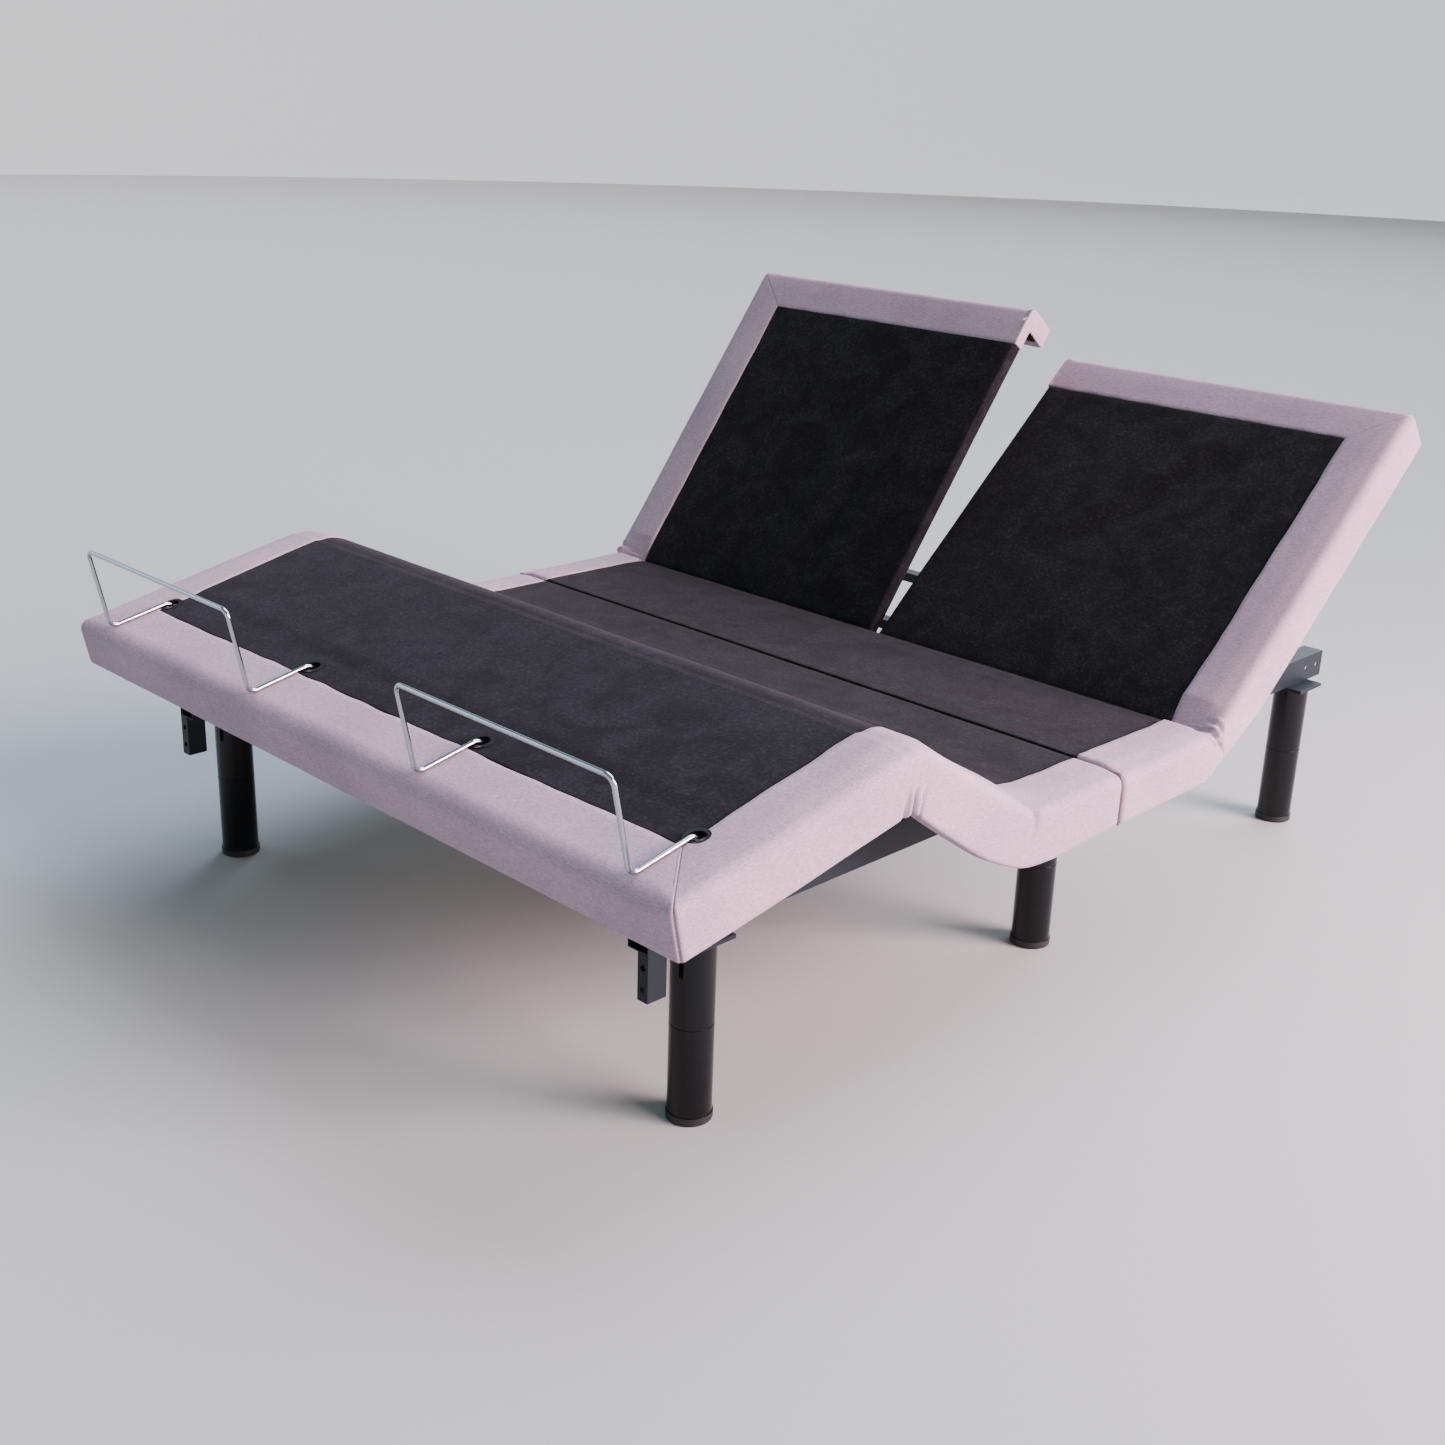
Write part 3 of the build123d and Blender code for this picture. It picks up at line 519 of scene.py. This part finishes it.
def rolled(rings, last=True):
    """Turns the end of a cover's top down at a seam."""

    def sink(end, inset):
        high = (end.points - end.points[0]) @ end.up > 0.003
        return np.where(high, inset, 0.0)[:, None] * end.up

    return turned_in(rings, last, 0.003, sink)


def positions(obj):
    """The piece's vertices, and their normals, as arrays."""
    mesh = obj.data
    points, normals = np.empty(len(mesh.vertices) * 3), np.empty(len(mesh.vertices) * 3)
    mesh.vertices.foreach_get("co", points)
    mesh.vertices.foreach_get("normal", normals)
    return points.reshape(-1, 3), normals.reshape(-1, 3)


def put(obj, points):
    obj.data.vertices.foreach_set("co", points.ravel())
    obj.data.update()


def waver(points, size):
    """Smooth noise at each point, whose waves are about that long."""
    return np.array([noise.noise(Vector(p) / size, noise_basis="PERLIN_ORIGINAL") for p in points])


def settled(obj, amount, size):
    """Slow hollows and swellings, as stretched foam and cloth have."""
    points, normals = positions(obj)
    waves = waver(points, size)
    # Two pieces meet in the middle of the thigh, where both keep to one line
    away = points[:, 1:] - THIGH.at(MID_THIGH)
    still = np.linalg.norm(away, axis=1) < 0.15
    waves *= np.where(still, smooth(np.abs(away @ THIGH.run), 0.0005, 0.035), 1.0)
    put(obj, points + normals * (amount * waves)[:, None])


def skin(name, rings, slot):
    """A closed, softly uneven mesh over a run of rings, capped at both ends."""
    count = len(rings[0].points)
    points = np.concatenate([r.points for r in rings])
    mesh = bpy.data.meshes.new(name)
    bm = bmesh.new()
    verts = [bm.verts.new(p) for p in points]
    for i in range(len(rings) - 1):
        for j in range(count):
            k = (j + 1) % count
            a, b = i * count, (i + 1) * count
            bm.faces.new((verts[a + j], verts[a + k], verts[b + k], verts[b + j]))
    caps = [bm.faces.new(verts[:count][::-1]), bm.faces.new(verts[-count:])]
    bmesh.ops.triangulate(bm, faces=caps, ngon_method="EAR_CLIP")
    bmesh.ops.recalc_face_normals(bm, faces=bm.faces)
    bm.to_mesh(mesh)
    bm.free()
    obj = bpy.data.objects.new(name, mesh)
    bpy.context.scene.collection.objects.link(obj)
    mesh.shade_smooth()
    mesh.set_sharp_from_angle(angle=math.radians(55))
    paint(obj, slot)
    fill, depth, length = SOFTNESS[slot]
    settled(obj, depth, length)
    return obj


def yz(x, point):
    return (x, float(point[0]), float(point[1]))


def side_ring(sign, outline, top, bottom, crown=0.0, bridge=0.0):
    """A ring across one side of the bed, from a top point to a bottom point, both (y, z)."""
    top3, bottom3 = np.array(yz(sign * HALF, top)), np.array(yz(sign * HALF, bottom))
    up = (top3 - bottom3) / DEPTH
    inward = np.array([-sign, 0.0, 0.0])
    points = top3 + outline[:, :1] * inward + outline[:, 1:] * up
    return Ring(points, inward, up, crown, bridge)


def end_ring(x, section, length, outline, scale, crown=0.0):
    """A ring across the head or foot edge at that x."""
    origin = np.array(yz(x, section.at(length)))
    inward = np.array([0.0, *(-section.run)]) * scale
    up = np.array([0.0, *section.up])
    return Ring(origin + outline[:, :1] * inward + outline[:, 1:] * up, inward, up, crown)


def corner_rings(sign, section, length, scale, crown=0.0, radius=0.013, steps=8):
    """Rings round an outer corner, from side to end, with a sewn line on the diagonal."""
    run, up = np.array([0.0, *section.run]), np.array([0.0, *section.up])
    out = np.array([sign, 0.0, 0.0])
    origin = np.array(yz(0.0, section.at(0.0)))
    u, w = SIDE_EDGE[:, 0], SIDE_EDGE[:, 1]
    turn = np.maximum(radius - u, 0.005)
    side, end = HALF - u, length - u * scale
    rings = []
    for i in range(steps + 1):
        a = math.pi / 2 * i / steps
        groove = 0.0026 * ridge(i, steps / 2, 0.8)
        x = side - turn + turn * math.cos(a)
        y = end - turn + turn * math.sin(a)
        points = origin + x[:, None] * out + y[:, None] * run + w[:, None] * up
        inward = -out * math.cos(a) - run * math.sin(a)
        points = points + groove * (inward - up * 0.6)
        rings.append(Ring(points, inward, up, crown))
    return rings


def ramp(values, counts):
    """Values, or (y, z) points, that run from each to the next in that many steps."""
    made = [values[0]]
    for a, b, n in zip(values, values[1:], counts):
        made += [a + (b - a) * (i + 1) / n for i in range(n)]
    return made


def spline(points, counts):
    """A smooth curve through (y, z) points, with that many steps in each stretch."""
    p = [2 * points[0] - points[1], *points, 2 * points[-1] - points[-2]]
    made = [p[1]]
    for i, n in enumerate(counts):
        a, b, c, d = p[i : i + 4]
        for t in (j / n for j in range(1, n + 1)):
            linear, square, cube = c - a, 2 * a - 5 * b + 4 * c - d, 3 * b - a - 3 * c + d
            made.append(0.5 * (2 * b + linear * t + square * t * t + cube * t**3))
    return made


# Every edge has the side's outline, scaled inward to its own width
SCALE_HEAD = HEAD_BAND / SIDE_BAND
SCALE_FOOT = FOOT_BAND / SIDE_BAND
SIDE_EDGE = band_profile(0.0286, edge=0.017)
HEAD_EDGE = band_profile(0.044 / SCALE_HEAD, edge=0.017)
FOOT_EDGE = band_profile(0.030 / SCALE_FOOT, edge=0.027)
# At the split, the head's outline becomes an L that covers the ends of deck and apron boards
END_EDGE = HEAD_EDGE.copy()
END_EDGE[0, 1] = -BOARD_UNDER
END_EDGE[-5:-3] = [(HEAD_EDGE[-8, 0], w) for w in (-0.040, -BOARD_UNDER)]
END_EDGE[-3:] = [(u, -BOARD_UNDER) for u in (0.058, 0.070, 0.082)]


class Run:
    """The deck edge's top and bottom lines over a stretch, and how far the padding rises."""

    def __init__(self, tops, bottoms, crowns, bridges=None):
        self.tops, self.bottoms = tops, bottoms
        self.crowns, self.bridges = crowns, bridges or [0.0] * len(crowns)

    def rings(self, sign):
        """Rings of the upholstered edge on one side."""
        rows = zip(self.tops, self.bottoms, self.crowns, self.bridges)
        return [side_ring(sign, SIDE_EDGE, *row) for row in rows]

    def cross(self, outline):
        """Rings of a cover that spans the bed: the outline is x and height."""
        made = []
        rows = zip(self.tops, self.bottoms, self.crowns, self.bridges)
        for top, bottom, crown, bridge in rows:
            up = np.array(yz(0.0, (top - bottom) / np.linalg.norm(top - bottom)))
            across = np.array([1.0, 0.0, 0.0])
            points = np.array(yz(0.0, top)) + outline[:, :1] * across + outline[:, 1:] * up
            made.append(Ring(points, across, up, crown, bridge))
        return made


def head_run(side):
    """From the seam in the seat, over the head hinge and up one head section."""
    head, start = HEADS[side], SEAT_SEAM - SEAM_HALF
    crease = AXIS_DROP * math.tan(HEAD_ANGLE[side] / 2)
    tops = [SEAT.at(start), SEAT.at(0.060), SEAT.at(0.022), head.at(crease)]
    tops += [head.at(0.060), head.at(0.116), head.at(HEAD_RUN_END)]
    # Below the crease the cloth cuts straight across from seat to head
    low, high = SEAT.at(0.022, DEPTH), head.at(0.116, DEPTH + 0.001)
    bottoms = [SEAT.at(start, 0.085), SEAT.at(0.060, 0.083), low]
    bottoms += [low * (1 - t) + high * t for t in (0.36, 0.70, 1.0)]
    bottoms += [head.at(HEAD_RUN_END, DEPTH)]
    counts = (26, 9, 20, 34, 8, 46)
    crowns = ramp((0.0075, 0.005, 0.0065, -0.0065, 0.0045, 0.003, 0.003), counts)
    return Run(ramp(tops, counts), ramp(bottoms, counts), crowns)


def hip_run():
    """From the seam in the seat, over the hip hinge, to the middle of the thigh section."""
    start = SEAT_SEAM + SEAM_HALF
    crease = AXIS_DROP * math.tan(THIGH_ANGLE / 2)
    tops = [SEAT.at(start), SEAT.at(0.400), SEAT.at(0.455), THIGH.at(crease)]
    tops += [THIGH.at(0.045), THIGH.at(0.100), THIGH.at(MID_THIGH)]
    # The cloth sags below the board where it turns up at the hip
    bottoms = [SEAT.at(start, 0.085), SEAT.at(0.400, 0.089), SEAT.at(0.451, 0.092)]
    bottoms += [SEAT.at(0.5215, 0.086), THIGH.at(0.030, 0.094), THIGH.at(0.090, 0.0995)]
    bottoms += [THIGH.at(MID_THIGH, MID_THIGH_DEPTH)]
    counts = (15, 8, 12, 12, 8, 9)
    crowns = ramp((0.004, 0.005, 0.004, 0.001, 0.003, 0.004, 0.004), counts)
    bridges = ramp((0.0, 0.0, 0.004, 0.0135, 0.0115, 0.0092, MID_THIGH_BRIDGE), counts)
    return Run(ramp(tops, counts), spline(bottoms, counts), crowns, bridges)


def knee_run():
    """From the middle of the thigh section, over the knee, to a point on the calf section."""
    first, steps = THIGH_LENGTH - KNEE_TANGENT, 20
    tops = ramp([THIGH.at(MID_THIGH), THIGH.at(0.244), THIGH.at(first)], (9, 22))
    centre = THIGH.at(first, KNEE_RADIUS)
    for i in range(1, steps + 1):
        tops.append(centre + KNEE_RADIUS * np.array(turned(THIGH.up, KNEE_BEND * i / steps)))
    tops += ramp([CALF.at(KNEE_TANGENT), CALF.at(0.090), CALF.at(KNEE_RUN_END)], (22, 22))[1:]
    bottoms = [THIGH.at(MID_THIGH, MID_THIGH_DEPTH), THIGH.at(0.238, 0.094)]
    bottoms += [THIGH.at(0.288, 0.0905), KNEE_AXIS - KNEE.up * 0.0855, CALF.at(0.043, 0.0925)]
    bottoms += [CALF.at(0.096, 0.0915), CALF.at(KNEE_RUN_END, KNEE_RUN_DEPTH)]
    counts = (9, 22, steps // 2, steps // 2, 22, 22)
    crowns = ramp((0.004, 0.004, 0.006, 0.006, 0.006, 0.006, 0.003), counts)
    bridges = ramp((MID_THIGH_BRIDGE, 0.0008, 0.0, 0.0, 0.0, 0.0, 0.0), counts)
    return Run(tops, ramp(bottoms, counts), crowns, bridges)


def lifted(rings):
    """Raises the top of each ring by its crown and its bridge, more the further in it is."""
    u, w = SIDE_EDGE[:, 0], SIDE_EDGE[:, 1]
    top = (w > TOP_SKIN) & (u > 0.009)
    hem = 0.0026 * smooth(u, u.max() - 0.016, u.max() - 0.002) * top
    for r in rings:
        unit = r.up / np.linalg.norm(r.up)
        rise = r.crown * smooth(u, 0.010, 0.045) + r.bridge * smooth(u, 0.015, 0.075)
        # The inner edge wanders a little over the deck's cover
        wander = max(0.5 + 0.9 * waver(r.points[:1], 0.045)[0], 0)
        shift = np.where(top, rise, 0.0)[:, None] * unit + (hem * wander)[:, None] * r.inward
        r.points = r.points + shift
    return rings


def pleats(obj):
    """Three short gathers under each knee, and the pinch at the hip's outer crease."""
    points, _ = positions(obj)
    x = np.abs(points[:, 0])
    out = np.sign(points[:, 0]) * smooth(x, HALF - 0.016, HALF - 0.004)
    # Gathers: s runs along the deck from the knee, and h is the height
    q = points[:, 1:] - KNEE_AXIS
    s, h = q @ KNEE.run, q @ KNEE.up
    low = (1 - smooth(h, -0.074, -0.038)) * (np.linalg.norm(q, axis=1) < 0.16)
    folds = sum(d * ridge(s, m, 0.0030) for m, d in ((-0.019, 0.7), (0.0, 1.0), (0.016, 0.8)))
    swell = sum(ridge(s, m, 0.0045) for m in (-0.0095, 0.008))
    move = low * (0.0026 * swell - 0.0078 * folds)
    # Pinch: the same, from the hip
    p = points[:, 1:] - HIP_AXIS
    s, h = p @ HIP.run, p @ HIP.up
    high = smooth(h, -0.050, 0.004) * (np.linalg.norm(p, axis=1) < 0.12)
    pinch = high * ridge(s + 0.05 * h, 0.0, 0.0052)
    points[:, 0] += out * (move - 0.0068 * pinch)
    points[:, 1:] -= (0.0045 * np.abs(out) * pinch * (h > -0.004))[:, None] * HIP.up
    put(obj, points)


def hinge_gathers(obj, side):
    """Small puckers at the outer end of the crease over the head hinge."""
    hinge = HINGES[side]
    points, _ = positions(obj)
    p, x = points[:, 1:] - HEAD_AXIS, np.abs(points[:, 0])
    s, h = p @ hinge.run, p @ hinge.up
    here = (np.linalg.norm(p, axis=1) < 0.11) & (x > HALF - SIDE_BAND - 0.001)
    face = here * smooth(x, HALF - 0.016, HALF - 0.003)
    deep = smooth(h, -0.052, 0.002)
    folds = ridge(s + 0.30 * (h - 0.01), 0.0, 0.0036) + 0.65 * ridge(s - 0.45 * h, 0.0125, 0.0030)
    folds += 0.35 * (ridge(s + 0.6 * h, -0.012, 0.0034) - ridge(s - 0.1 * h, 0.006, 0.0030))
    points[:, 0] -= np.sign(points[:, 0]) * face * 0.0095 * deep * folds
    # The block stands a little proud of the one in front where the seat is sewn
    seam = np.linalg.norm(points[:, 1:] - SEAT.at(SEAT_SEAM, 0.04), axis=1)
    proud = 0.0026 * (x > HALF - 0.02) * (1 - smooth(seam, 0.01, 0.11))
    points[:, 0] += np.sign(points[:, 0]) * proud
    wrinkle = sum(
        d * ridge(s, m, w)
        for m, w, d in ((0.010, 0.0042, 1.0), (0.0185, 0.0034, -0.9), (0.027, 0.004, 0.5))
    )
    bump = 0.0040 * smooth(x, HALF - 0.034, HALF - 0.008) * wrinkle
    points[:, 1:] += (here * (h > -0.006) * bump)[:, None] * hinge.up
    put(obj, points)


def cut_sockets(obj):
    """Opens the cloth round the retainer cups, under their flanges."""
    bpy.ops.object.select_all(action="DESELECT")
    tools = []
    for x in SOCKETS:
        bpy.ops.mesh.primitive_cylinder_add(
            vertices=48,
            radius=0.0188,
            depth=0.0135,
            location=yz(x, CALF.at(SOCKET_ALONG)),
            rotation=(CALF_ANGLE, 0, 0),
        )
        tools.append(bpy.context.object)
    for tool in tools:
        tool.select_set(True)
    bpy.context.view_layer.objects.active = tools[0]
    bpy.ops.object.join()
    tool = bpy.context.object
    cut = obj.modifiers.new("cups", "BOOLEAN")
    cut.operation = "DIFFERENCE"
    cut.solver = "EXACT"
    cut.object = tool
    bpy.ops.object.select_all(action="DESELECT")
    obj.select_set(True)
    bpy.context.view_layer.objects.active = obj
    bpy.ops.object.modifier_apply(modifier=cut.name)
    bpy.data.objects.remove(tool)


def bend_over(obj):
    """Bakes the piece's placement into its mesh."""
    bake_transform(obj)


def rear_border(side):
    """Upholstered edge from the seam in the seat, up the side and across the top of one head."""
    sign, head = SIDES[side], HEADS[side]
    crown = 0.0015
    rings = head_run(side).rings(sign)
    corner = corner_rings(sign, head, HEAD_LENGTH, SCALE_HEAD, crown)
    inner = end_ring(sign * SPLIT_HALF, head, HEAD_LENGTH, HEAD_EDGE, SCALE_HEAD, crown)
    along = fill_rings([rings[-1], corner[0]], [26])[1:]
    across = fill_rings([corner[-1], inner], [80])[1:]
    # At the split the cloth is folded over the ends of the boards
    plate = [
        end_ring(sign * (SPLIT_HALF - step), head, HEAD_LENGTH, END_EDGE, SCALE_HEAD, crown)
        for step in (0.0, 0.0032)
    ]
    rings = lifted(rings + along + corner[1:] + across + plate)
    rings = rounded(rings, SIDE_EDGE, 0.009, last=False)
    rings = rounded(rings, END_EDGE, 0.0026)
    obj = skin(f"border_head_{side}", rings, "border_fabric")
    hinge_gathers(obj, side)
    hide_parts(f"head_{side}_border", "seat_border")
    bend_over(obj)


def front_border(side):
    """Upholstered edge from the seam in the seat, over the hip, to the middle of the thigh."""
    rings = rounded(lifted(hip_run().rings(SIDES[side])), SIDE_EDGE, 0.007, last=False)
    obj = skin(f"border_hip_{side}", rings, "border_fabric")
    pleats(obj)
    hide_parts("seat_border", "thigh_border")
    bend_over(obj)


def foot_border():
    """Upholstered edge from mid-thigh over both knees and round the foot."""
    halves = {}
    for side, sign in SIDES.items():
        rings = knee_run().rings(sign)
        corner = corner_rings(sign, CALF, CALF_LENGTH, SCALE_FOOT, radius=0.011)
        halves[side] = rings + fill_rings([rings[-1], corner[0]], [26])[1:] + corner[1:]
    # Between these two rings the foot's outer edge has its full, softer rounding
    reach = np.minimum(0.700, HALF - FOOT_EDGE[:, 0] - 0.004)
    soft = [end_ring(s, CALF, CALF_LENGTH, FOOT_EDGE, SCALE_FOOT) for s in (-1, 1)]
    for ring in soft:
        ring.points[:, 0] *= reach
    front = fill_rings([halves["left"][-1], *soft, halves["right"][-1]], [8, 150, 8])
    rings = halves["left"][:-1] + front + halves["right"][::-1][1:]
    obj = skin("border_foot", lifted(rings), "border_fabric")
    pleats(obj)
    cut_sockets(obj)
    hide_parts("thigh_border", "calf_border")
    bend_over(obj)


# Black deck covers -------------------------------------------------------------

PANEL = HALF - SIDE_BAND - 0.0006
PANEL_TOP = -0.0013  # a cover's top, below the border's
PANEL_EDGE = [(PANEL, -0.0078), (PANEL, -0.0032), (PANEL - 0.0012, -0.0018)]
PANEL_GAP = 0.0008  # between a cover's end and the border there


def wide_profile():
    """Closed outline of a cover from one border to the other: x and height."""
    tops = [(x, PANEL_TOP) for x in np.linspace(-PANEL + 0.005, PANEL - 0.005, 110)]
    return np.array([(-x, w) for x, w in PANEL_EDGE] + tops + PANEL_EDGE[::-1])


def head_profile(sign):
    """Closed outline of a head's cover, which wraps down round the board at the split."""
    gap, board = SPLIT_HALF - 0.0012, SPLIT_HALF - 0.0001
    points = PANEL_EDGE + [(x, PANEL_TOP) for x in np.linspace(PANEL - 0.005, gap + 0.012, 56)]
    points += arc((gap + 0.007, -0.0083), 0.007, 90, 180, 5)
    points += [(gap, -0.014), (gap, -0.0215), (gap + 0.0015, -0.0238), (0.040, -BOARD_UNDER)]
    points += [(0.040, -0.0232), (board, -0.0231), (board, -0.0079)]
    return np.array([(sign * x, w) for x, w in points])


def raised(rings, outline, folds=()):
    """Lifts a cover's top by its rings' crowns and bridges, and by its own folds."""
    x, top = outline[:, 0], outline[:, 1] > TOP_SKIN
    for i, r in enumerate(rings):
        share = i / (len(rings) - 1)
        rise = r.crown + r.bridge + sum(fold(x, share, *row) for row in folds)
        r.points = r.points + np.where(top, rise, 0.0)[:, None] * r.up
    return rings


def fold(x, share, a, b, width, height):
    """A soft fold along the line from a to b, each (x, share of the run)."""
    p = np.stack([x, np.full_like(x, share)], 1) - np.array(a)
    line = np.array(b) - np.array(a)
    t = np.clip(p @ line / (line @ line), 0, 1)
    away = np.linalg.norm((p - t[:, None] * line) * np.array([1.0, 0.75]), axis=1)
    return height * np.exp(-((away / width) ** 2)) * smooth(t, 0, 0.25) * smooth(-t, -1, -0.75)


# Each fold's two ends, its width and its height
HEAD_FOLDS = {
    "right": [
        ((0.46, 0.99), (0.20, 0.45), 0.022, 0.0052),
        ((0.55, 0.97), (0.16, 0.30), 0.032, -0.0046),
        ((0.40, 0.90), (0.28, 0.62), 0.014, -0.0026),
    ],
    "left": [
        ((-0.26, 0.62), (-0.33, 0.02), 0.030, 0.0046),
        ((-0.20, 0.55), (-0.24, 0.05), 0.024, -0.0034),
    ],
}
HIP_FOLDS = [
    ((0.05, 0.42), (0.50, 0.20), 0.030, 0.0016),
    ((-0.40, 0.40), (0.10, 0.30), 0.028, -0.0014),
]


def head_cover(side):
    outline = head_profile(SIDES[side])
    head, far = HEADS[side], HEAD_LENGTH - HEAD_BAND - PANEL_GAP
    crease = AXIS_DROP * math.tan(HEAD_ANGLE[side] / 2)
    stations, counts = (crease, 0.010, 0.020, 0.060, 0.116, far), (2, 2, 5, 6, 60)
    # A short tail lies on the seat, under the end of the seat's cover
    tail = (0.0085, 0.0065)
    tops = [SEAT.at(a) for a in tail] + ramp([head.at(a) for a in stations], counts)
    bottoms = [SEAT.at(a, DEPTH) for a in tail]
    bottoms += ramp([head.at(a, DEPTH) for a in stations], counts)
    crowns = [-0.0062, -0.0050] + ramp((-0.0022, -0.0008, 0.0, 0.002, 0.003, 0.003), counts)
    rings = raised(Run(tops, bottoms, crowns).cross(outline), outline, HEAD_FOLDS[side])
    obj = skin(f"cover_head_{side}", rolled(rings), "deck_fabric")
    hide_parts(f"head_{side}_deck_cover")
    bend_over(obj)


def seat_cover():
    outline = wide_profile()
    stations, counts = (SEAT_SEAM - 0.0006, 0.060, 0.022, 0.0058), (25, 5, 4)
    tops = ramp([SEAT.at(a) for a in stations], counts)
    bottoms = ramp([SEAT.at(a, DEPTH) for a in stations], counts)
    crowns = ramp((0.0065, 0.004, 0.002, 0.0), counts)
    rings = raised(Run(tops, bottoms, crowns).cross(outline), outline)
    obj = skin("cover_seat", rolled(rolled(rings), last=False), "deck_fabric")
    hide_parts("seat_deck_cover")
    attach(obj, "base")


def hip_cover():
    outline = wide_profile()
    rings = raised(hip_run().cross(outline), outline, HIP_FOLDS)
    obj = skin("cover_hip", rolled(rings, last=False), "deck_fabric")
    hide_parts("seat_deck_cover", "thigh_deck_cover")
    bend_over(obj)


def foot_cover():
    outline = wide_profile()
    run, far = knee_run(), CALF_LENGTH - FOOT_BAND - PANEL_GAP
    stations, counts = (KNEE_RUN_END, 0.300, far), (5, 10)
    depths = (KNEE_RUN_DEPTH, DEPTH, DEPTH)
    run.tops += ramp([CALF.at(a) for a in stations], counts)[1:]
    run.bottoms += ramp([CALF.at(a, d) for a, d in zip(stations, depths)], counts)[1:]
    run.crowns += ramp((0.003, 0.0, 0.0), counts)[1:]
    run.bridges += [0.0] * sum(counts)
    rings = rolled(raised(run.cross(outline), outline))
    obj = skin("cover_foot", rings, "deck_fabric")
    cut_sockets(obj)
    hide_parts("thigh_deck_cover", "calf_deck_cover")
    bend_over(obj)


for side in SIDES:
    rear_border(side)
    front_border(side)
    head_cover(side)
foot_border()
seat_cover()
hip_cover()
foot_cover()


# Studio ------------------------------------------------------------------------


def studio():
    bpy.ops.object.select_all(action="DESELECT")
    # A round floor 36 m across that turns up into a low wall
    bpy.ops.mesh.primitive_circle_add(
        vertices=96, radius=18, fill_type="NGON", location=(0, 0, -0.0005)
    )
    floor = bpy.context.object
    floor.name = "floor"
    bpy.ops.object.mode_set(mode="EDIT")
    bpy.ops.mesh.select_all(action="SELECT")
    bpy.ops.mesh.select_mode(type="EDGE")
    bpy.ops.mesh.region_to_loop()
    for growth, rise in ((1.04, 0.12), (1.03, 0.5), (1.01, 1.0), (1.0, 4.5)):
        bpy.ops.mesh.extrude_edges_move(TRANSFORM_OT_translate={"value": (0, 0, rise)})
        bpy.ops.transform.resize(value=(growth, growth, 1))
    bpy.ops.object.mode_set(mode="OBJECT")
    floor.data.shade_smooth()
    # Matt paint, with no sheen of its own
    matt, _, _ = material(
        "painted_studio_floor",
        Base_Color=colour("#a6abaa"),
        Roughness=0.9,
        Specular_IOR_Level=0.2,
    )
    # Lit paint: a wall that glows evenly and so shows no seams
    lit, _, _ = material(
        "lit_studio_wall",
        Base_Color=colour("#404244"),
        Roughness=0.9,
        Emission_Color=colour("#eceef2"),
        Emission_Strength=1.0,
    )
    floor.data.materials.append(matt)
    floor.data.materials.append(lit)
    for face in floor.data.polygons:
        face.material_index = int(face.center.z > 0.02)
    world = bpy.data.worlds.new("studio")
    bpy.context.scene.world = world
    world.use_nodes = True
    back = world.node_tree.nodes["Background"]
    back.inputs["Color"].default_value = colour("#c8e4f0")
    back.inputs["Strength"].default_value = 0.42


def lamp(name, kind, code, strength, way):
    """A light that comes from that side of where it aims."""
    data = bpy.data.lights.new(name, kind)
    data.color = colour(code)[:3]
    data.energy = strength
    obj = bpy.data.objects.new(name, data)
    obj.rotation_mode = "QUATERNION"
    obj.rotation_quaternion = Vector(way).to_track_quat("Z", "Y")
    bpy.context.scene.collection.objects.link(obj)
    return obj


def lights():
    for name, code, strength, spread, way in (
        ("daylight", "#ffe6ea", 8.5, 40, (4.7, 1.7, 2.2)),
        ("skylight", "#dfeaff", 5.0, 50, (-0.6, 3.6, 3.6)),
        ("far_window", "#b4dcf0", 1.0, 50, (-3.8, -1.2, 1.2)),
    ):
        lamp(name, "SUN", code, strength, way).data.angle = math.radians(spread)
    # A near window on the right, whose light falls off across the bed
    place, aim = Vector((3.5, 1.5, 1.25)), Vector((0.3, -0.1, 0.35))
    window = lamp("window", "AREA", "#ffd6de", 420, place - aim)
    window.location = place
    window.data.shape = "RECTANGLE"
    window.data.size, window.data.size_y = 1.8, 1.3
    window.visible_camera = False


def camera():
    data = bpy.data.cameras.new("camera")
    data.lens = 45.02
    data.sensor_width = 36.0
    data.clip_start, data.clip_end = 0.05, 60
    obj = bpy.data.objects.new("camera", data)
    bpy.context.scene.collection.objects.link(obj)
    azimuth, elevation, roll = (math.radians(a) for a in (44.492, 20.258, 1.913))
    flat = math.cos(elevation)
    back = Vector((math.sin(azimuth) * flat, -math.cos(azimuth) * flat, math.sin(elevation)))
    right = (-back).cross(Vector((0, 0, 1))).normalized()
    up = right.cross(-back)
    across = right * math.cos(roll) + up * math.sin(roll)
    above = up * math.cos(roll) - right * math.sin(roll)
    turn = Matrix((across, above, back)).transposed()
    obj.matrix_world = Matrix.Translation((2.13618, -2.27756, 1.38831)) @ turn.to_4x4()
    bpy.context.scene.camera = obj


studio()
lights()
camera()
